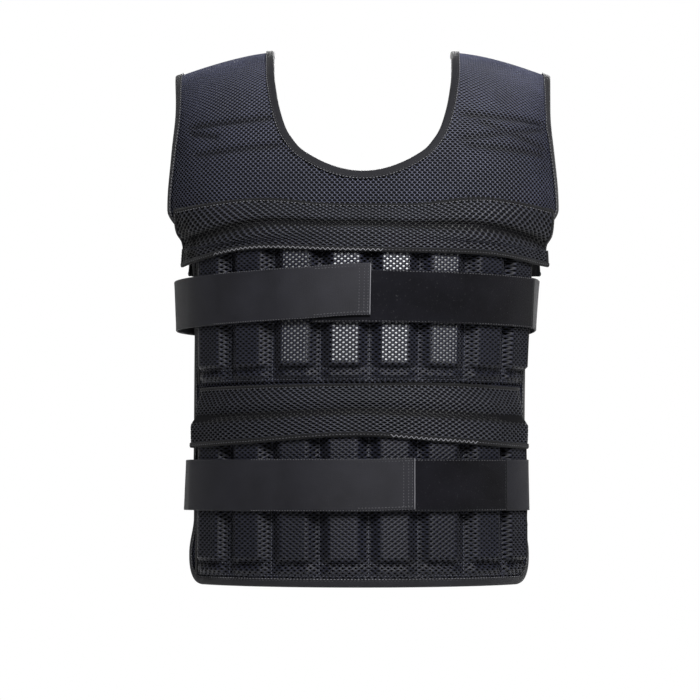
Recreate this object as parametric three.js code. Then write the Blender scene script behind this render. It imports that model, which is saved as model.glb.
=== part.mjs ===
// A weighted vest, worn over the head and closed round the body by two straps.
// Millimetres. X runs to the right of a front view, Y from front to back and Z up.
// The origin lies midway between the undersides of the two shoulder straps.
import * as THREE from "three";

// Body form: how far the hem, the waist and the start of the shoulder dome lie below the origin
const HEM_DROP = 517;
const DOME_DROP = 148;
const RIDGE_RISE = 20;
const RIDGE_FALL = 29;
const RIDGE_POWER = 1.5;
const CHEST_HALF_WIDTH = 202;
const CHEST_DEPTH = 126;
const SHOULDER_SHIFT = 4;
const PANEL = 4;
const FIT = 0.3;

// Outline of a panel, as half widths of the front view
const SIDE_HALF_WIDTH = 193;
const HEM_CORNER = 26;
const NECK_HALF_WIDTH = 91;
const NECK_SHARE = 0.115;
const NECK_TURN_SHARE = 0.215;
const BACK_NECK_WIDER = 12;

// Folded tape on the edges
const TAPE = 1;
const TAPE_LEG = 6.5;
const TAPE_INNER_ROOM = 1.2;
const TAPE_OUTER_ROOM = 0.8;

// Pocket rows and the steel plates in them
const POCKETS = 8;
const LEFT_POCKET = 53.2;
const RIGHT_POCKET = 34.9;
const POCKET_SHEET = 1.2;
const SEAM_LIFT = 0.8;
const PLATE_WIDTH = 25;
const PLATE_LENGTH = 116;
const PLATE_THICKNESS = 8;
const UPPER_PLATE_TOP_DROP = 186;
const LOWER_PLATE_TOP_DROP = 373;
const POCKET_MOUTH = 10;
const POCKET_FOLD = 2;
const UPPER_SEAM_BAND = 19;
const LOWER_SEAM_BAND = 20.5;

// Flaps over the pocket rows
const CHEST_FLAP_DROP = 146;
const CHEST_FLAP_HEIGHT = 50;
const CHEST_FLAP_HALF = 200;
const CHEST_FLAP_HALF_TOP = 197;
const MID_FLAP_DROP = 323;
const MID_FLAP_HEIGHT = 51;
const MID_FLAP_HALF = 190;
const MID_FLAP_HALF_TOP = 183;
const FLAP_PADDING = 4.5;
const TAPE_CROSSING = 0.15;
const CHEST_FLAP_END_LIFT = 1;
const MID_FLAP_END_LIFT = 0.35;

// Webbing straps round the body
const STRAP_WIDTH = 50;
const STRAP = 1.6;
const HOOK_AND_LOOP = 1;
const STRAP_ROOM = 0.9;
const STRAP_REACH = 196;
const UPPER_STRAP_DROP = 240;
const LOWER_STRAP_DROP = 421;

// Ends of each strap and of its patches, as walks along the front from its middle
const UPPER_STRAP_ENDS = { underEnd: -44, upperEnd: 9, loopStart: -42, loopEnd: 180, hookStart: -24 };
const LOWER_STRAP_ENDS = { underEnd: -4, upperEnd: 50, loopStart: -2, loopEnd: 146, hookStart: 0 };

// How far each strap stands off the body's form at the middle of each side, where it is pulled taut
const UPPER_STRAP_SIDES = { leftLift: 11, rightLift: 2 };
const LOWER_STRAP_SIDES = { leftLift: 1, rightLift: -7.5 };

// How finely the cloth is divided
const PANEL_COLUMN = 27;
const BAND_COLUMNS = 3;
const FLAP_COLUMN = 31;
const STRAP_COLUMN = 30;
const ARC_STEPS = 240;
const SLOPE_STEP = 0.6;
const LEAST_COLUMN = 1;

// Rows of the panel round the hem's corner, as shares of its radius above the hem
const HEM_ROWS = [
  { share: 0 },
  { share: 0.08 },
  { share: TAPE_LEG / HEM_CORNER },
  { share: 0.6 },
  { share: 1.1 },
];

// Plan section of the front at a height, as shares of the drops and of the chest's width and depth
const SECTIONS = [
  { share: 0, width: 1, depth: 1, squareness: 3 },
  { share: 0.1, width: 0.892, depth: 1.03, squareness: 2.15 },
  { share: 0.42, width: 0.858, depth: 1.04, squareness: 2.06 },
  { share: 0.6, width: 0.851, depth: 1.04, squareness: 2.02 },
  { share: 1, width: 0.876, depth: 1.07, squareness: 2 },
];

// Front view half width of a panel's edge, as shares of its widest, down from the dome's start
const SIDE_EDGE = [
  { share: 0, width: 1 },
  { share: 0.073, width: 0.91 },
  { share: 0.155, width: 0.865 },
  { share: 0.344, width: 0.848 },
  { share: 0.68, width: 0.848 },
  { share: 0.827, width: 0.842 },
  { share: 0.92, width: 0.868 },
  { share: 1, width: 0.868 },
];

// The same edge round the armhole, up the dome to the shoulder seam
const ARM_EDGE = [
  { share: 0, width: 1 },
  { share: 0.24, width: 0.98 },
  { share: 0.46, width: 0.965 },
  { share: 1, width: 0.985 },
];

// Half width of the neck opening, as shares of its widest, up the dome
const NECK_EDGE = [
  { share: 0.215, width: 0.715 },
  { share: 0.265, width: 0.805 },
  { share: 0.32, width: 0.865 },
  { share: 0.435, width: 0.935 },
  { share: 0.6, width: 0.98 },
  { share: 1, width: 1 },
];

// Creases pressed across the shoulder straps, as shares of the dome, with their depth
const SHOULDER_CREASES = [
  { share: 0.3, spread: 0.055, depth: 1.4 },
  { share: 0.41, spread: 0.055, depth: 1.4 },
];

// Fold of a pocket sheet below its plates, as shares of the way down to its seam,
// filled out as shares of the height over a plate
const POCKET_TAIL = [
  { share: 0.35, fill: 0.45 },
  { share: 0.65, fill: 0.62 },
  { share: 1, fill: 0 },
];

// Cross section of a flap from its seam to its free edge, as shares of its height.
// The lifts are shares of the height that a filled pocket stands off the panel.
const FLAP_PROFILE = [
  { share: 0, inner: 0.12, padding: 0.4 },
  { share: 0.12, inner: 0.13, padding: 1.1 },
  { share: 0.3, inner: 0.3, padding: 1.5 },
  { share: 0.47, inner: 0.55, padding: 0.55 },
  { share: 0.62, inner: 1.12, padding: 0.95 },
  { share: 0.82, inner: 1.12, padding: 0.85 },
  { share: 1, inner: 1.12, padding: 0.45 },
];

// Waves of a flap's seam and of its free edge, as shares of the flap's height,
// along its length as shares of its half length
const CHEST_FLAP_WAVE = [
  { share: -1, seam: -0.05, edge: -0.14 },
  { share: -0.5, seam: 0.05, edge: 0.07 },
  { share: -0.1, seam: -0.06, edge: -0.01 },
  { share: 0.2, seam: -0.06, edge: -0.03 },
  { share: 0.58, seam: 0.07, edge: -0.02 },
  { share: 1, seam: -0.05, edge: -0.12 },
];
const MID_FLAP_WAVE = [
  { share: -1, seam: -0.03, edge: -0.2 },
  { share: -0.6, seam: -0.02, edge: -0.14 },
  { share: 0, seam: 0, edge: 0 },
  { share: 0.4, seam: 0.02, edge: -0.1 },
  { share: 1, seam: -0.02, edge: -0.22 },
];

// Heights of the two straps along the front, as shares of their width
const UPPER_STRAP_RISE = [
  { reach: -1, rise: 0 },
  { reach: -0.3, rise: 0.06 },
  { reach: 0.02, rise: 0.13 },
];
const LOWER_STRAP_RISE = [
  { reach: -1, rise: 0 },
  { reach: 0, rise: 0 },
  { reach: 0.3, rise: 0.03 },
];

const MESH_NAVY = new THREE.MeshStandardMaterial({ color: 0x17171f, roughness: 0.85, metalness: 0 });
const MESH_BLACK = new THREE.MeshStandardMaterial({ color: 0x161618, roughness: 0.85, metalness: 0 });
const TAPE_CLOTH = new THREE.MeshStandardMaterial({ color: 0x26262a, roughness: 0.8, metalness: 0 });
const WEBBING = new THREE.MeshStandardMaterial({ color: 0x242428, roughness: 0.7, metalness: 0 });
const LOOP_FACE = new THREE.MeshStandardMaterial({ color: 0x1a1a1d, roughness: 0.95, metalness: 0 });
const STEEL = new THREE.MeshStandardMaterial({ color: 0x9a9ca0, roughness: 0.4, metalness: 0.9 });

const SKIRT = HEM_DROP - DOME_DROP;
const DOME_ARC = (Math.PI / 4) * (DOME_DROP + RIDGE_RISE + CHEST_DEPTH);
const SEAM_HALF_GAP = FIT / 2;

// Monotone curve through the rows of a table: value of a column at a place
function along(rows, column, place, axis = "share") {
  const last = rows.length - 1;
  if (place <= rows[0][axis]) return rows[0][column];
  if (place >= rows[last][axis]) return rows[last][column];
  const rise = (i) => (rows[i + 1][column] - rows[i][column]) / (rows[i + 1][axis] - rows[i][axis]);
  const slope = (i) => {
    if (i === 0 || i === last || rise(i - 1) * rise(i) <= 0) return 0;
    return (2 * rise(i - 1) * rise(i)) / (rise(i - 1) + rise(i));
  };
  const i = rows.findIndex((row) => row[axis] > place) - 1;
  const step = rows[i + 1][axis] - rows[i][axis];
  const t = (place - rows[i][axis]) / step;
  const near = (1 + 2 * t) * (1 - t) ** 2 * rows[i][column] + t * (1 - t) ** 2 * step * slope(i);
  const far = t * t * (3 - 2 * t) * rows[i + 1][column] + t * t * (t - 1) * step * slope(i + 1);
  return near + far;
}

// Half of the closed plan section at a drop below the dome's start, from the front centre
// round the right side to the back centre, with the length walked so far
const sectionCache = new Map();
function section(drop) {
  const key = drop.toFixed(4);
  if (sectionCache.has(key)) return sectionCache.get(key);
  const share = drop / SKIRT;
  const width = CHEST_HALF_WIDTH * along(SECTIONS, "width", share);
  const depth = CHEST_DEPTH * along(SECTIONS, "depth", share);
  const power = 2 / along(SECTIONS, "squareness", share);
  const points = [];
  for (let i = 0; i <= ARC_STEPS; i++) {
    const angle = (Math.PI * i) / ARC_STEPS;
    const x = width * Math.abs(Math.sin(angle)) ** power;
    const y = -depth * Math.sign(Math.cos(angle)) * Math.abs(Math.cos(angle)) ** power;
    const before = points[i - 1];
    const walked = before ? before.walked + Math.hypot(x - before.x, y - before.y) : 0;
    points.push({ x, y, walked });
  }
  sectionCache.set(key, points);
  return points;
}

function halfGirth(drop) {
  return section(drop)[ARC_STEPS].walked;
}

// Place on the section after a walk of s from the front centre, left of it where s is negative
function onSection(drop, s) {
  const points = section(drop);
  const walk = Math.min(Math.abs(s), points[ARC_STEPS].walked - 1e-6);
  let low = 0;
  let high = ARC_STEPS;
  while (high - low > 1) {
    const middle = (low + high) >> 1;
    if (points[middle].walked > walk) high = middle;
    else low = middle;
  }
  const t = (walk - points[low].walked) / (points[high].walked - points[low].walked);
  const x = points[low].x + t * (points[high].x - points[low].x);
  const y = points[low].y + t * (points[high].y - points[low].y);
  return { x: Math.sign(s || 1) * x, y };
}

// Walk from the front centre to a front view half width
function walkTo(drop, x) {
  const points = section(drop);
  const i = Math.max(points.findIndex((point) => point.x >= Math.abs(x)), 1);
  const t = (Math.abs(x) - points[i - 1].x) / (points[i].x - points[i - 1].x);
  return points[i - 1].walked + t * (points[i].walked - points[i - 1].walked);
}

function ridgeHeight(x) {
  const share = Math.max(Math.abs(x) - NECK_HALF_WIDTH, 0) / (CHEST_HALF_WIDTH - NECK_HALF_WIDTH);
  return RIDGE_RISE - RIDGE_FALL * share ** RIDGE_POWER;
}

function lean(z) {
  const t = Math.min(Math.max((z + HEM_DROP) / (HEM_DROP - DOME_DROP), 0), 1);
  return SHOULDER_SHIFT * t ** 3;
}

// Cloth surface: s walks round the body, and h climbs from the hem (negative) over the dome (positive)
function surface(s, h) {
  if (h <= 0) {
    const { x, y } = onSection(-h, s);
    const z = h - DOME_DROP;
    return new THREE.Vector3(x + lean(z), y, z);
  }
  const { x, y } = onSection(0, s);
  const angle = (Math.PI / 2) * (h / DOME_ARC);
  const z = (ridgeHeight(x) + DOME_DROP) * Math.sin(angle) - DOME_DROP;
  return new THREE.Vector3(x + lean(z), y * Math.cos(angle), z);
}

// The surface with its unit normal and how far one step of s and of h reaches
function frameAt(s, h) {
  const across = surface(s + SLOPE_STEP, h).sub(surface(s - SLOPE_STEP, h)).divideScalar(2 * SLOPE_STEP);
  const up = surface(s, h + SLOPE_STEP).sub(surface(s, h - SLOPE_STEP)).divideScalar(2 * SLOPE_STEP);
  const normal = new THREE.Vector3().crossVectors(across, up).normalize();
  return { point: surface(s, h), normal, across: across.length(), up: up.length() };
}

function lifted(s, h, lift) {
  const { point, normal } = frameAt(s, h);
  return point.addScaledVector(normal, lift);
}

// Height on the surface of a drop below the origin
function heightOf(drop) {
  return DOME_DROP - drop;
}

// Walk to a panel's edge at a height, or to a line inset from it, with the hem's round corner
function edgeWalk(h, inset = 0) {
  if (h > 0) return walkTo(0, SIDE_HALF_WIDTH * along(ARM_EDGE, "width", h / DOME_ARC)) - inset;
  const walk = walkTo(-h, SIDE_HALF_WIDTH * along(SIDE_EDGE, "width", -h / SKIRT));
  const below = HEM_CORNER - (h + SKIRT);
  if (below <= 0) return walk - inset;
  const radius = HEM_CORNER - inset;
  return walk - HEM_CORNER + Math.sqrt(Math.max(radius ** 2 - below ** 2, 0));
}

// Walk to the neck's edge, where the back's neck is a little wider part way up
function neckWalk(h, wider) {
  const share = h / DOME_ARC;
  const half = NECK_HALF_WIDTH * along(NECK_EDGE, "width", share);
  return walkTo(0, half + wider * Math.sin(Math.PI * Math.min(share, 1)));
}

// Height of the neck's lowest stretch, which turns up into its sides
function neckFloor(s, turnWalk) {
  const lowest = NECK_SHARE * DOME_ARC;
  const turn = NECK_TURN_SHARE * DOME_ARC;
  return lowest + (turn - lowest) * (s / turnWalk) ** 2;
}

function flip(point) {
  return new THREE.Vector3(point.x, -point.y, point.z);
}

// Closed mesh from corner points and faces, turned so that its faces point out
function closedMesh(name, points, faces, material, back) {
  const placed = back ? points.map(flip) : points;
  let volume = 0;
  for (const [a, b, c] of faces) {
    volume += placed[a].dot(new THREE.Vector3().crossVectors(placed[b], placed[c]));
  }
  const outward = volume > 0 ? faces : faces.map(([a, b, c]) => [a, c, b]);
  const geometry = new THREE.BufferGeometry();
  geometry.setAttribute("position", new THREE.Float32BufferAttribute(placed.flatMap((p) => p.toArray()), 3));
  geometry.setIndex(outward.flat());
  geometry.computeVertexNormals();
  const mesh = new THREE.Mesh(geometry, material);
  mesh.name = name;
  return mesh;
}

function quad(faces, a, b, c, d) {
  faces.push([a, b, c], [a, c, d]);
}

// Keeps a point of the front half on its own side of the seam with the back
function aheadOfSeam(point) {
  return point.setY(Math.min(point.y, -SEAM_HALF_GAP));
}

// Gives an open sheet its two faces and a wall along every free edge.
// Each node of the sheet holds s, h and the lifts of its outer and inner face.
function thicken(name, nodes, quads, material, keep, back = false) {
  const faces = [];
  for (const [a, b, c, d] of quads) quad(faces, a, b, c, d);
  const count = nodes.length;
  const used = new Set(faces.flatMap(([a, b, c]) => [`${a} ${b}`, `${b} ${c}`, `${c} ${a}`]));
  const walls = [];
  for (const edge of used) {
    const [a, b] = edge.split(" ").map(Number);
    if (!used.has(`${b} ${a}`)) quad(walls, a + count, b + count, b, a);
  }
  const inner = faces.map(([a, b, c]) => [a + count, c + count, b + count]);
  const outerPoints = nodes.map((node) => keep(lifted(node.s, node.h, node.outer)));
  const innerPoints = nodes.map((node) => keep(lifted(node.s, node.h, node.inner)));
  return closedMesh(name, [...outerPoints, ...innerPoints], [...faces, ...inner, ...walls], material, back);
}

// Quads between neighbouring rows of node numbers
function weave(rows) {
  const quads = [];
  for (let j = 0; j + 1 < rows.length; j++) {
    for (let i = 0; i + 1 < rows[j].length; i++) {
      quads.push([rows[j][i], rows[j][i + 1], rows[j + 1][i + 1], rows[j + 1][i]]);
    }
  }
  return quads;
}

// Even stops from one value to another, no further apart than a step
function stops(from, to, step) {
  const count = Math.max(1, Math.ceil(Math.abs(to - from) / step));
  return Array.from({ length: count + 1 }, (unused, i) => from + ((to - from) * i) / count);
}

function creaseDepth(h) {
  const share = h / DOME_ARC;
  return SHOULDER_CREASES.reduce((deepest, crease) => {
    const away = Math.abs(share - crease.share) / crease.spread;
    return Math.max(deepest, crease.depth * Math.max(1 - away, 0));
  }, 0);
}

// Heights of the panel's rows below the dome, which its tape shares
function skirtHeights() {
  const plateBottom = UPPER_PLATE_TOP_DROP + PLATE_LENGTH;
  const drops = [
    ...HEM_ROWS.map(({ share }) => HEM_DROP - HEM_CORNER * share),
    LOWER_PLATE_TOP_DROP + PLATE_LENGTH / 2,
    LOWER_PLATE_TOP_DROP - POCKET_MOUTH,
    plateBottom + UPPER_SEAM_BAND,
    plateBottom + POCKET_FOLD,
    UPPER_PLATE_TOP_DROP + PLATE_LENGTH / 2,
    UPPER_PLATE_TOP_DROP + PLATE_LENGTH / 5,
    UPPER_PLATE_TOP_DROP - POCKET_FOLD,
    UPPER_PLATE_TOP_DROP - POCKET_MOUTH,
    (UPPER_PLATE_TOP_DROP - POCKET_MOUTH + DOME_DROP) / 2,
    DOME_DROP,
  ];
  return drops.map(heightOf);
}

// Heights of the rows of the shoulder straps, from above the neck's turn to the shoulder seam
function shoulderHeights() {
  const creases = SHOULDER_CREASES.flatMap(({ share, spread }) => [share - spread, share]);
  const { share, spread } = SHOULDER_CREASES[SHOULDER_CREASES.length - 1];
  const above = share + spread;
  return [...creases, ...stops(above, 1, (1 - above) / 4)].map((place) => place * DOME_ARC);
}

function neckTurn() {
  return NECK_TURN_SHARE * DOME_ARC;
}

// Panel: a full-width block up to the neck's turn, and a strap on each side of the neck
function panel(name, back) {
  const wider = back ? BACK_NECK_WIDER : 0;
  const turn = neckTurn();
  const split = neckWalk(turn, wider);
  const nodes = [];
  const node = (s, h) => nodes.push({ s, h, outer: -creaseDepth(h), inner: -PANEL - creaseDepth(h) }) - 1;
  const walks = (h) => {
    const right = bandWalks(h, split);
    return [...right.map((s) => -s), ...middleWalks(split), ...right.slice().reverse()];
  };
  const rows = skirtHeights().map((h) => walks(h).map((s) => node(s, h)));
  for (const share of [0.5, 1]) {
    const topAt = (s) => (Math.abs(s) < split ? neckFloor(s, split) : turn);
    rows.push(walks(turn * share).map((s) => node(s, topAt(s) * share)));
  }
  const quads = weave(rows);
  const top = rows[rows.length - 1];
  const bandCount = bandWalks(0, split).length;
  for (const side of [-1, 1]) {
    const first = side < 0 ? top.slice(0, bandCount) : top.slice(-bandCount);
    const strap = shoulderHeights().map((h) => {
      const line = bandWalks(h, neckWalk(h, wider));
      const ordered = side < 0 ? line.map((s) => -s) : line.slice().reverse();
      return ordered.map((s) => node(s, h));
    });
    quads.push(...weave([first, ...strap]));
  }
  return thicken(name, nodes, quads, MESH_NAVY, aheadOfSeam, back);
}

// Columns from an edge in to the neck's side: two narrow ones under the tape's leg and the hem's
// corner, then even ones
function bandWalks(h, neck) {
  const edge = edgeWalk(h);
  const anchor = edgeWalk(Math.max(h, HEM_CORNER - SKIRT)) - HEM_CORNER - TAPE_LEG;
  const even = stops(anchor, neck, Math.abs(neck - anchor) / (BAND_COLUMNS - 0.5));
  return [edge, edge - Math.min(TAPE_LEG, (edge - anchor) / 2), ...even];
}

function middleWalks(split) {
  return stops(-split, split, PANEL_COLUMN).slice(1, -1);
}

// Tape folded over an edge: a channel section swept along a path of s and h.
// side is 1 where the cloth lies to the left of the path.
function binding(name, path, side, back) {
  const section = [
    { reach: -TAPE_LEG, lift: TAPE_OUTER_ROOM + TAPE },
    { reach: FIT + TAPE, lift: TAPE_OUTER_ROOM + TAPE },
    { reach: FIT + TAPE, lift: -PANEL - TAPE_INNER_ROOM - TAPE },
    { reach: -TAPE_LEG, lift: -PANEL - TAPE_INNER_ROOM - TAPE },
    { reach: -TAPE_LEG, lift: -PANEL - TAPE_INNER_ROOM },
    { reach: FIT, lift: -PANEL - TAPE_INNER_ROOM },
    { reach: FIT, lift: TAPE_OUTER_ROOM },
    { reach: -TAPE_LEG, lift: TAPE_OUTER_ROOM },
  ];
  const points = [];
  path.forEach(({ s, h }, i) => {
    const { across, up } = frameAt(s, h);
    const before = path[Math.max(i - 1, 0)];
    const after = path[Math.min(i + 1, path.length - 1)];
    const run = new THREE.Vector2((after.s - before.s) * across, (after.h - before.h) * up).normalize();
    for (const { reach, lift } of section) {
      const outS = (side * run.y * reach) / across;
      const outH = (-side * run.x * reach) / up;
      const place = Math.min(h + outH, DOME_ARC);
      const point = lifted(s + outS, place, lift - creaseDepth(place));
      points.push(aheadOfSeam(point));
    }
  });
  const faces = [];
  const sides = section.length;
  for (let i = 0; i + 1 < path.length; i++) {
    for (let j = 0; j < sides; j++) {
      const next = (j + 1) % sides;
      quad(faces, i * sides + j, i * sides + next, (i + 1) * sides + next, (i + 1) * sides + j);
    }
  }
  for (const start of [0, (path.length - 1) * sides]) {
    const cap = [];
    quad(cap, start, start + 1, start + 6, start + 7);
    quad(cap, start + 1, start + 2, start + 5, start + 6);
    quad(cap, start + 2, start + 3, start + 4, start + 5);
    faces.push(...(start ? cap : cap.map(([a, b, c]) => [a, c, b])));
  }
  return closedMesh(name, points, faces, TAPE_CLOTH, back);
}

function neckBinding(name, back) {
  const wider = back ? BACK_NECK_WIDER : 0;
  const split = neckWalk(neckTurn(), wider);
  const sides = shoulderHeights().map((h) => ({ s: neckWalk(h, wider), h }));
  const bottom = [-split, ...middleWalks(split), split].map((s) => ({ s, h: neckFloor(s, split) }));
  const left = sides.map(({ s, h }) => ({ s: -s, h })).reverse();
  return binding(name, [...left, ...bottom, ...sides], -1, back);
}

function edgeBinding(name, back) {
  const wider = back ? BACK_NECK_WIDER : 0;
  const split = neckWalk(neckTurn(), wider);
  const heights = [...skirtHeights(), neckTurn() / 2, neckTurn(), ...shoulderHeights()];
  const right = heights.map((h) => ({ s: edgeWalk(h), h }));
  const corner = bandWalks(-SKIRT, split).slice(1);
  const hem = [...corner.map((s) => -s), ...middleWalks(split), ...corner.reverse()];
  const hemPath = hem.map((s) => ({ s, h: -SKIRT }));
  const left = right.map(({ s, h }) => ({ s: -s, h })).reverse();
  return binding(name, [...left, ...hemPath, ...right], 1, back);
}

// Seams of a pocket row, from the left end to the right end
// The row ends beside the tape, where the panel is narrowest over the plates.
function pocketSeams() {
  const drops = stops(UPPER_PLATE_TOP_DROP, LOWER_PLATE_TOP_DROP + PLATE_LENGTH, PLATE_LENGTH / 4);
  const end = Math.min(...drops.map((drop) => edgeWalk(heightOf(drop), TAPE_LEG + 3 * FIT)));
  const first = LEFT_POCKET - end;
  const last = end - RIGHT_POCKET;
  return [-end, ...stops(first, last, (last - first) / (POCKETS - 2)), end];
}

// Middle of each plate: the middle of its pocket, or beside the seam in the wide left pocket
function plateWalks() {
  const seams = pocketSeams();
  const beside = seams[1] - (seams[2] - seams[1]) / 2;
  return [beside, ...seams.slice(2).map((seam, i) => (seam + seams[i + 1]) / 2)];
}

// Where a plate lies: flat, square to the cloth at its middle and just clear of it
function plateFrame(s, topDrop) {
  const heights = stops(heightOf(topDrop + PLATE_LENGTH), heightOf(topDrop), PLATE_LENGTH / 4);
  const bottom = surface(s, heights[0]);
  const top = surface(s, heights[heights.length - 1]);
  const { normal } = frameAt(s, (heights[0] + heights[heights.length - 1]) / 2);
  const up = top.clone().sub(bottom).normalize();
  const across = new THREE.Vector3().crossVectors(up, normal).normalize();
  const out = new THREE.Vector3().crossVectors(across, up).normalize();
  const middle = top.add(bottom).multiplyScalar(0.5);
  const walks = [-0.5, 0, 0.5].map((share) => s + share * PLATE_WIDTH);
  const bulges = heights.flatMap((h) => walks.map((walk) => surface(walk, h).sub(middle).dot(out)));
  middle.addScaledVector(out, Math.max(...bulges) + 2 * FIT + PLATE_THICKNESS / 2);
  return { middle, across, out, up };
}

// Lift off the cloth that just clears the plate's outer face
function liftOver({ middle, out }, s, h) {
  const { point, normal } = frameAt(s, h);
  const face = middle.clone().sub(point).dot(out) + PLATE_THICKNESS / 2 + FIT;
  return face / normal.dot(out);
}

// Rows of a pocket sheet: sewn down at both ends, full over the plates, with a fold below them
function pocketRows(plateTopDrop, seamBand) {
  const plateBottom = plateTopDrop + PLATE_LENGTH;
  return [
    { drop: plateTopDrop - POCKET_MOUTH, fill: 0 },
    { drop: plateTopDrop - POCKET_FOLD, fill: 1 },
    { drop: plateTopDrop + PLATE_LENGTH / 5, fill: 1 },
    { drop: plateTopDrop + PLATE_LENGTH / 2, fill: 1 },
    { drop: plateBottom + POCKET_FOLD, fill: 1 },
    ...POCKET_TAIL.map(({ share, fill }) => ({ drop: plateBottom + seamBand * share, fill })),
  ];
}

// Nodes of a pocket sheet, row by row: a seam, then the two edges of each plate
function pocketNodes(plateTopDrop, seamBand) {
  const seams = pocketSeams();
  const frames = plateWalks().map((s) => ({ s, frame: plateFrame(s, plateTopDrop) }));
  return pocketRows(plateTopDrop, seamBand).map(({ drop, fill }) => {
    const h = heightOf(drop);
    const limit = edgeWalk(h, TAPE_LEG + 3 * FIT);
    const node = (s, lift) => ({ s, h, inner: lift, outer: lift + POCKET_SHEET });
    const sewn = seams.map((seam) => node(Math.min(Math.max(seam, -limit), limit), SEAM_LIFT));
    const filled = frames.map(({ s, frame }) => [-0.5, 0.5].map((side) => {
      const reach = limit - LEAST_COLUMN;
      const walk = Math.min(Math.max(s + side * PLATE_WIDTH, -reach), reach);
      return node(walk, SEAM_LIFT + fill * (liftOver(frame, walk, h) - SEAM_LIFT));
    }));
    return sewn.flatMap((seam, i) => [seam, ...(filled[i] ?? [])]);
  });
}

// A sheet sewn down at the seams and lifted by the plates behind it
function pocketRow(name, plateTopDrop, seamBand, back) {
  const rows = pocketNodes(plateTopDrop, seamBand);
  const width = rows[0].length;
  const numbers = rows.map((row, j) => row.map((node, i) => j * width + i));
  return thicken(name, rows.flat(), weave(numbers.reverse()), MESH_NAVY, aheadOfSeam, back);
}

// A flat steel bar behind the sheet
function plate(name, s, topDrop, back) {
  const { middle, across, out, up } = plateFrame(s, topDrop);
  const mesh = new THREE.Mesh(new THREE.BoxGeometry(PLATE_WIDTH, PLATE_THICKNESS, PLATE_LENGTH), STEEL);
  mesh.name = name;
  mesh.position.copy(back ? flip(middle) : middle);
  const turn = new THREE.Matrix4();
  if (back) turn.makeBasis(flip(across), flip(out), flip(up));
  else turn.makeBasis(across.negate(), out, up);
  mesh.quaternion.setFromRotationMatrix(turn);
  return mesh;
}

// Walk to the outer edge of the last plate
function plateReach() {
  return plateWalks()[POCKETS - 1] + PLATE_WIDTH / 2;
}

// A padded flap with two ribs, sewn along its top and hanging free over the pockets' mouths.
// Past the last plates its ends may lie closer to the panel.
function flap(name, size, back) {
  const nodes = [];
  const full = (plateReach() + FIT) / size.half;
  const places = [-1, ...stops(-full, full, FLAP_COLUMN / size.half), 1];
  const rows = FLAP_PROFILE.map(({ share, inner, padding }) => {
    const half = share <= TAPE_CROSSING ? size.halfTop : size.half;
    return places.map((place) => {
      const seam = along(size.wave, "seam", place) * size.height;
      const edge = along(size.wave, "edge", place) * size.height;
      const drop = size.drop - seam + share * (size.height + seam - edge);
      const fall = Math.abs(place) > full ? size.endLift : 1;
      const lift = inner * size.crest * fall;
      const outer = lift + padding * FLAP_PADDING * fall;
      return nodes.push({ s: place * half, h: heightOf(drop), inner: lift, outer }) - 1;
    });
  });
  return thicken(name, nodes, weave(rows.reverse()), MESH_BLACK, aheadOfSeam, back);
}

// Walks along the front between two ends, with every strap and patch bent at the same places
function frontWalks(from, to) {
  const first = Math.ceil((from + LEAST_COLUMN) / STRAP_COLUMN);
  const last = Math.floor((to - LEAST_COLUMN) / STRAP_COLUMN);
  const inner = Array.from({ length: last - first + 1 }, (unused, i) => (first + i) * STRAP_COLUMN);
  return [from, ...inner, to];
}

function frontStops(from, to, side) {
  return frontWalks(from, to).map((walk) => ({ side, walk, share: 0 }));
}

// Stops of a strap from its under end, round the back, to its upper end on the front.
// Within the reach they are walks from the middle of the front or back, and past it shares of the side.
function strapStops(from, to) {
  const between = halfGirth(SKIRT / 2) - 2 * STRAP_REACH;
  const shares = stops(0, 1, STRAP_COLUMN / between).slice(1, -1);
  const walks = frontWalks(0, STRAP_REACH).slice(1);
  const round = (side) => [
    ...shares.map((share) => ({ side, walk: side * STRAP_REACH, share })),
    ...walks.slice().reverse().map((walk) => ({ side, walk, back: true })),
  ];
  return [
    ...frontStops(from, STRAP_REACH, 1),
    ...round(1),
    { side: 1, walk: 0, back: true },
    ...round(-1).reverse(),
    ...frontStops(-STRAP_REACH, to, -1),
  ];
}

function strapWalk({ side, walk, share, back }, h) {
  const girth = halfGirth(-h);
  if (back) return side * (girth - walk);
  return walk + side * share * (girth - 2 * STRAP_REACH);
}

// How far a strap is drawn in off its lift over the plates, as it runs free between the panels
function drawnIn(size, s, h) {
  const middle = halfGirth(-h) / 2;
  const hold = Math.ceil(plateReach() / STRAP_COLUMN) * STRAP_COLUMN;
  const away = Math.min(Math.abs(Math.abs(s) - middle) / (middle - hold), 1);
  const least = s > 0 ? size.rightLift : size.leftLift;
  return (size.lift - least) * (1 - away * away);
}

// A band between two edges that follow the strap's middle line
function band(name, columns, size, material) {
  const nodes = [];
  const rows = [-0.5, 0.5].map((edge) => columns.map((column) => {
    const reach = column.back ? -1 : column.walk / STRAP_REACH;
    const rise = column.side < 0 ? along(size.rise, "rise", reach, "reach") : 0;
    const h = heightOf(size.drop - (rise + edge) * size.width);
    const s = strapWalk(column, h);
    const inner = column.inner - drawnIn(size, s, h);
    return nodes.push({ s, h, inner, outer: inner + size.thickness }) - 1;
  }));
  return thicken(name, nodes, weave(rows), material, (point) => point);
}

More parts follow.
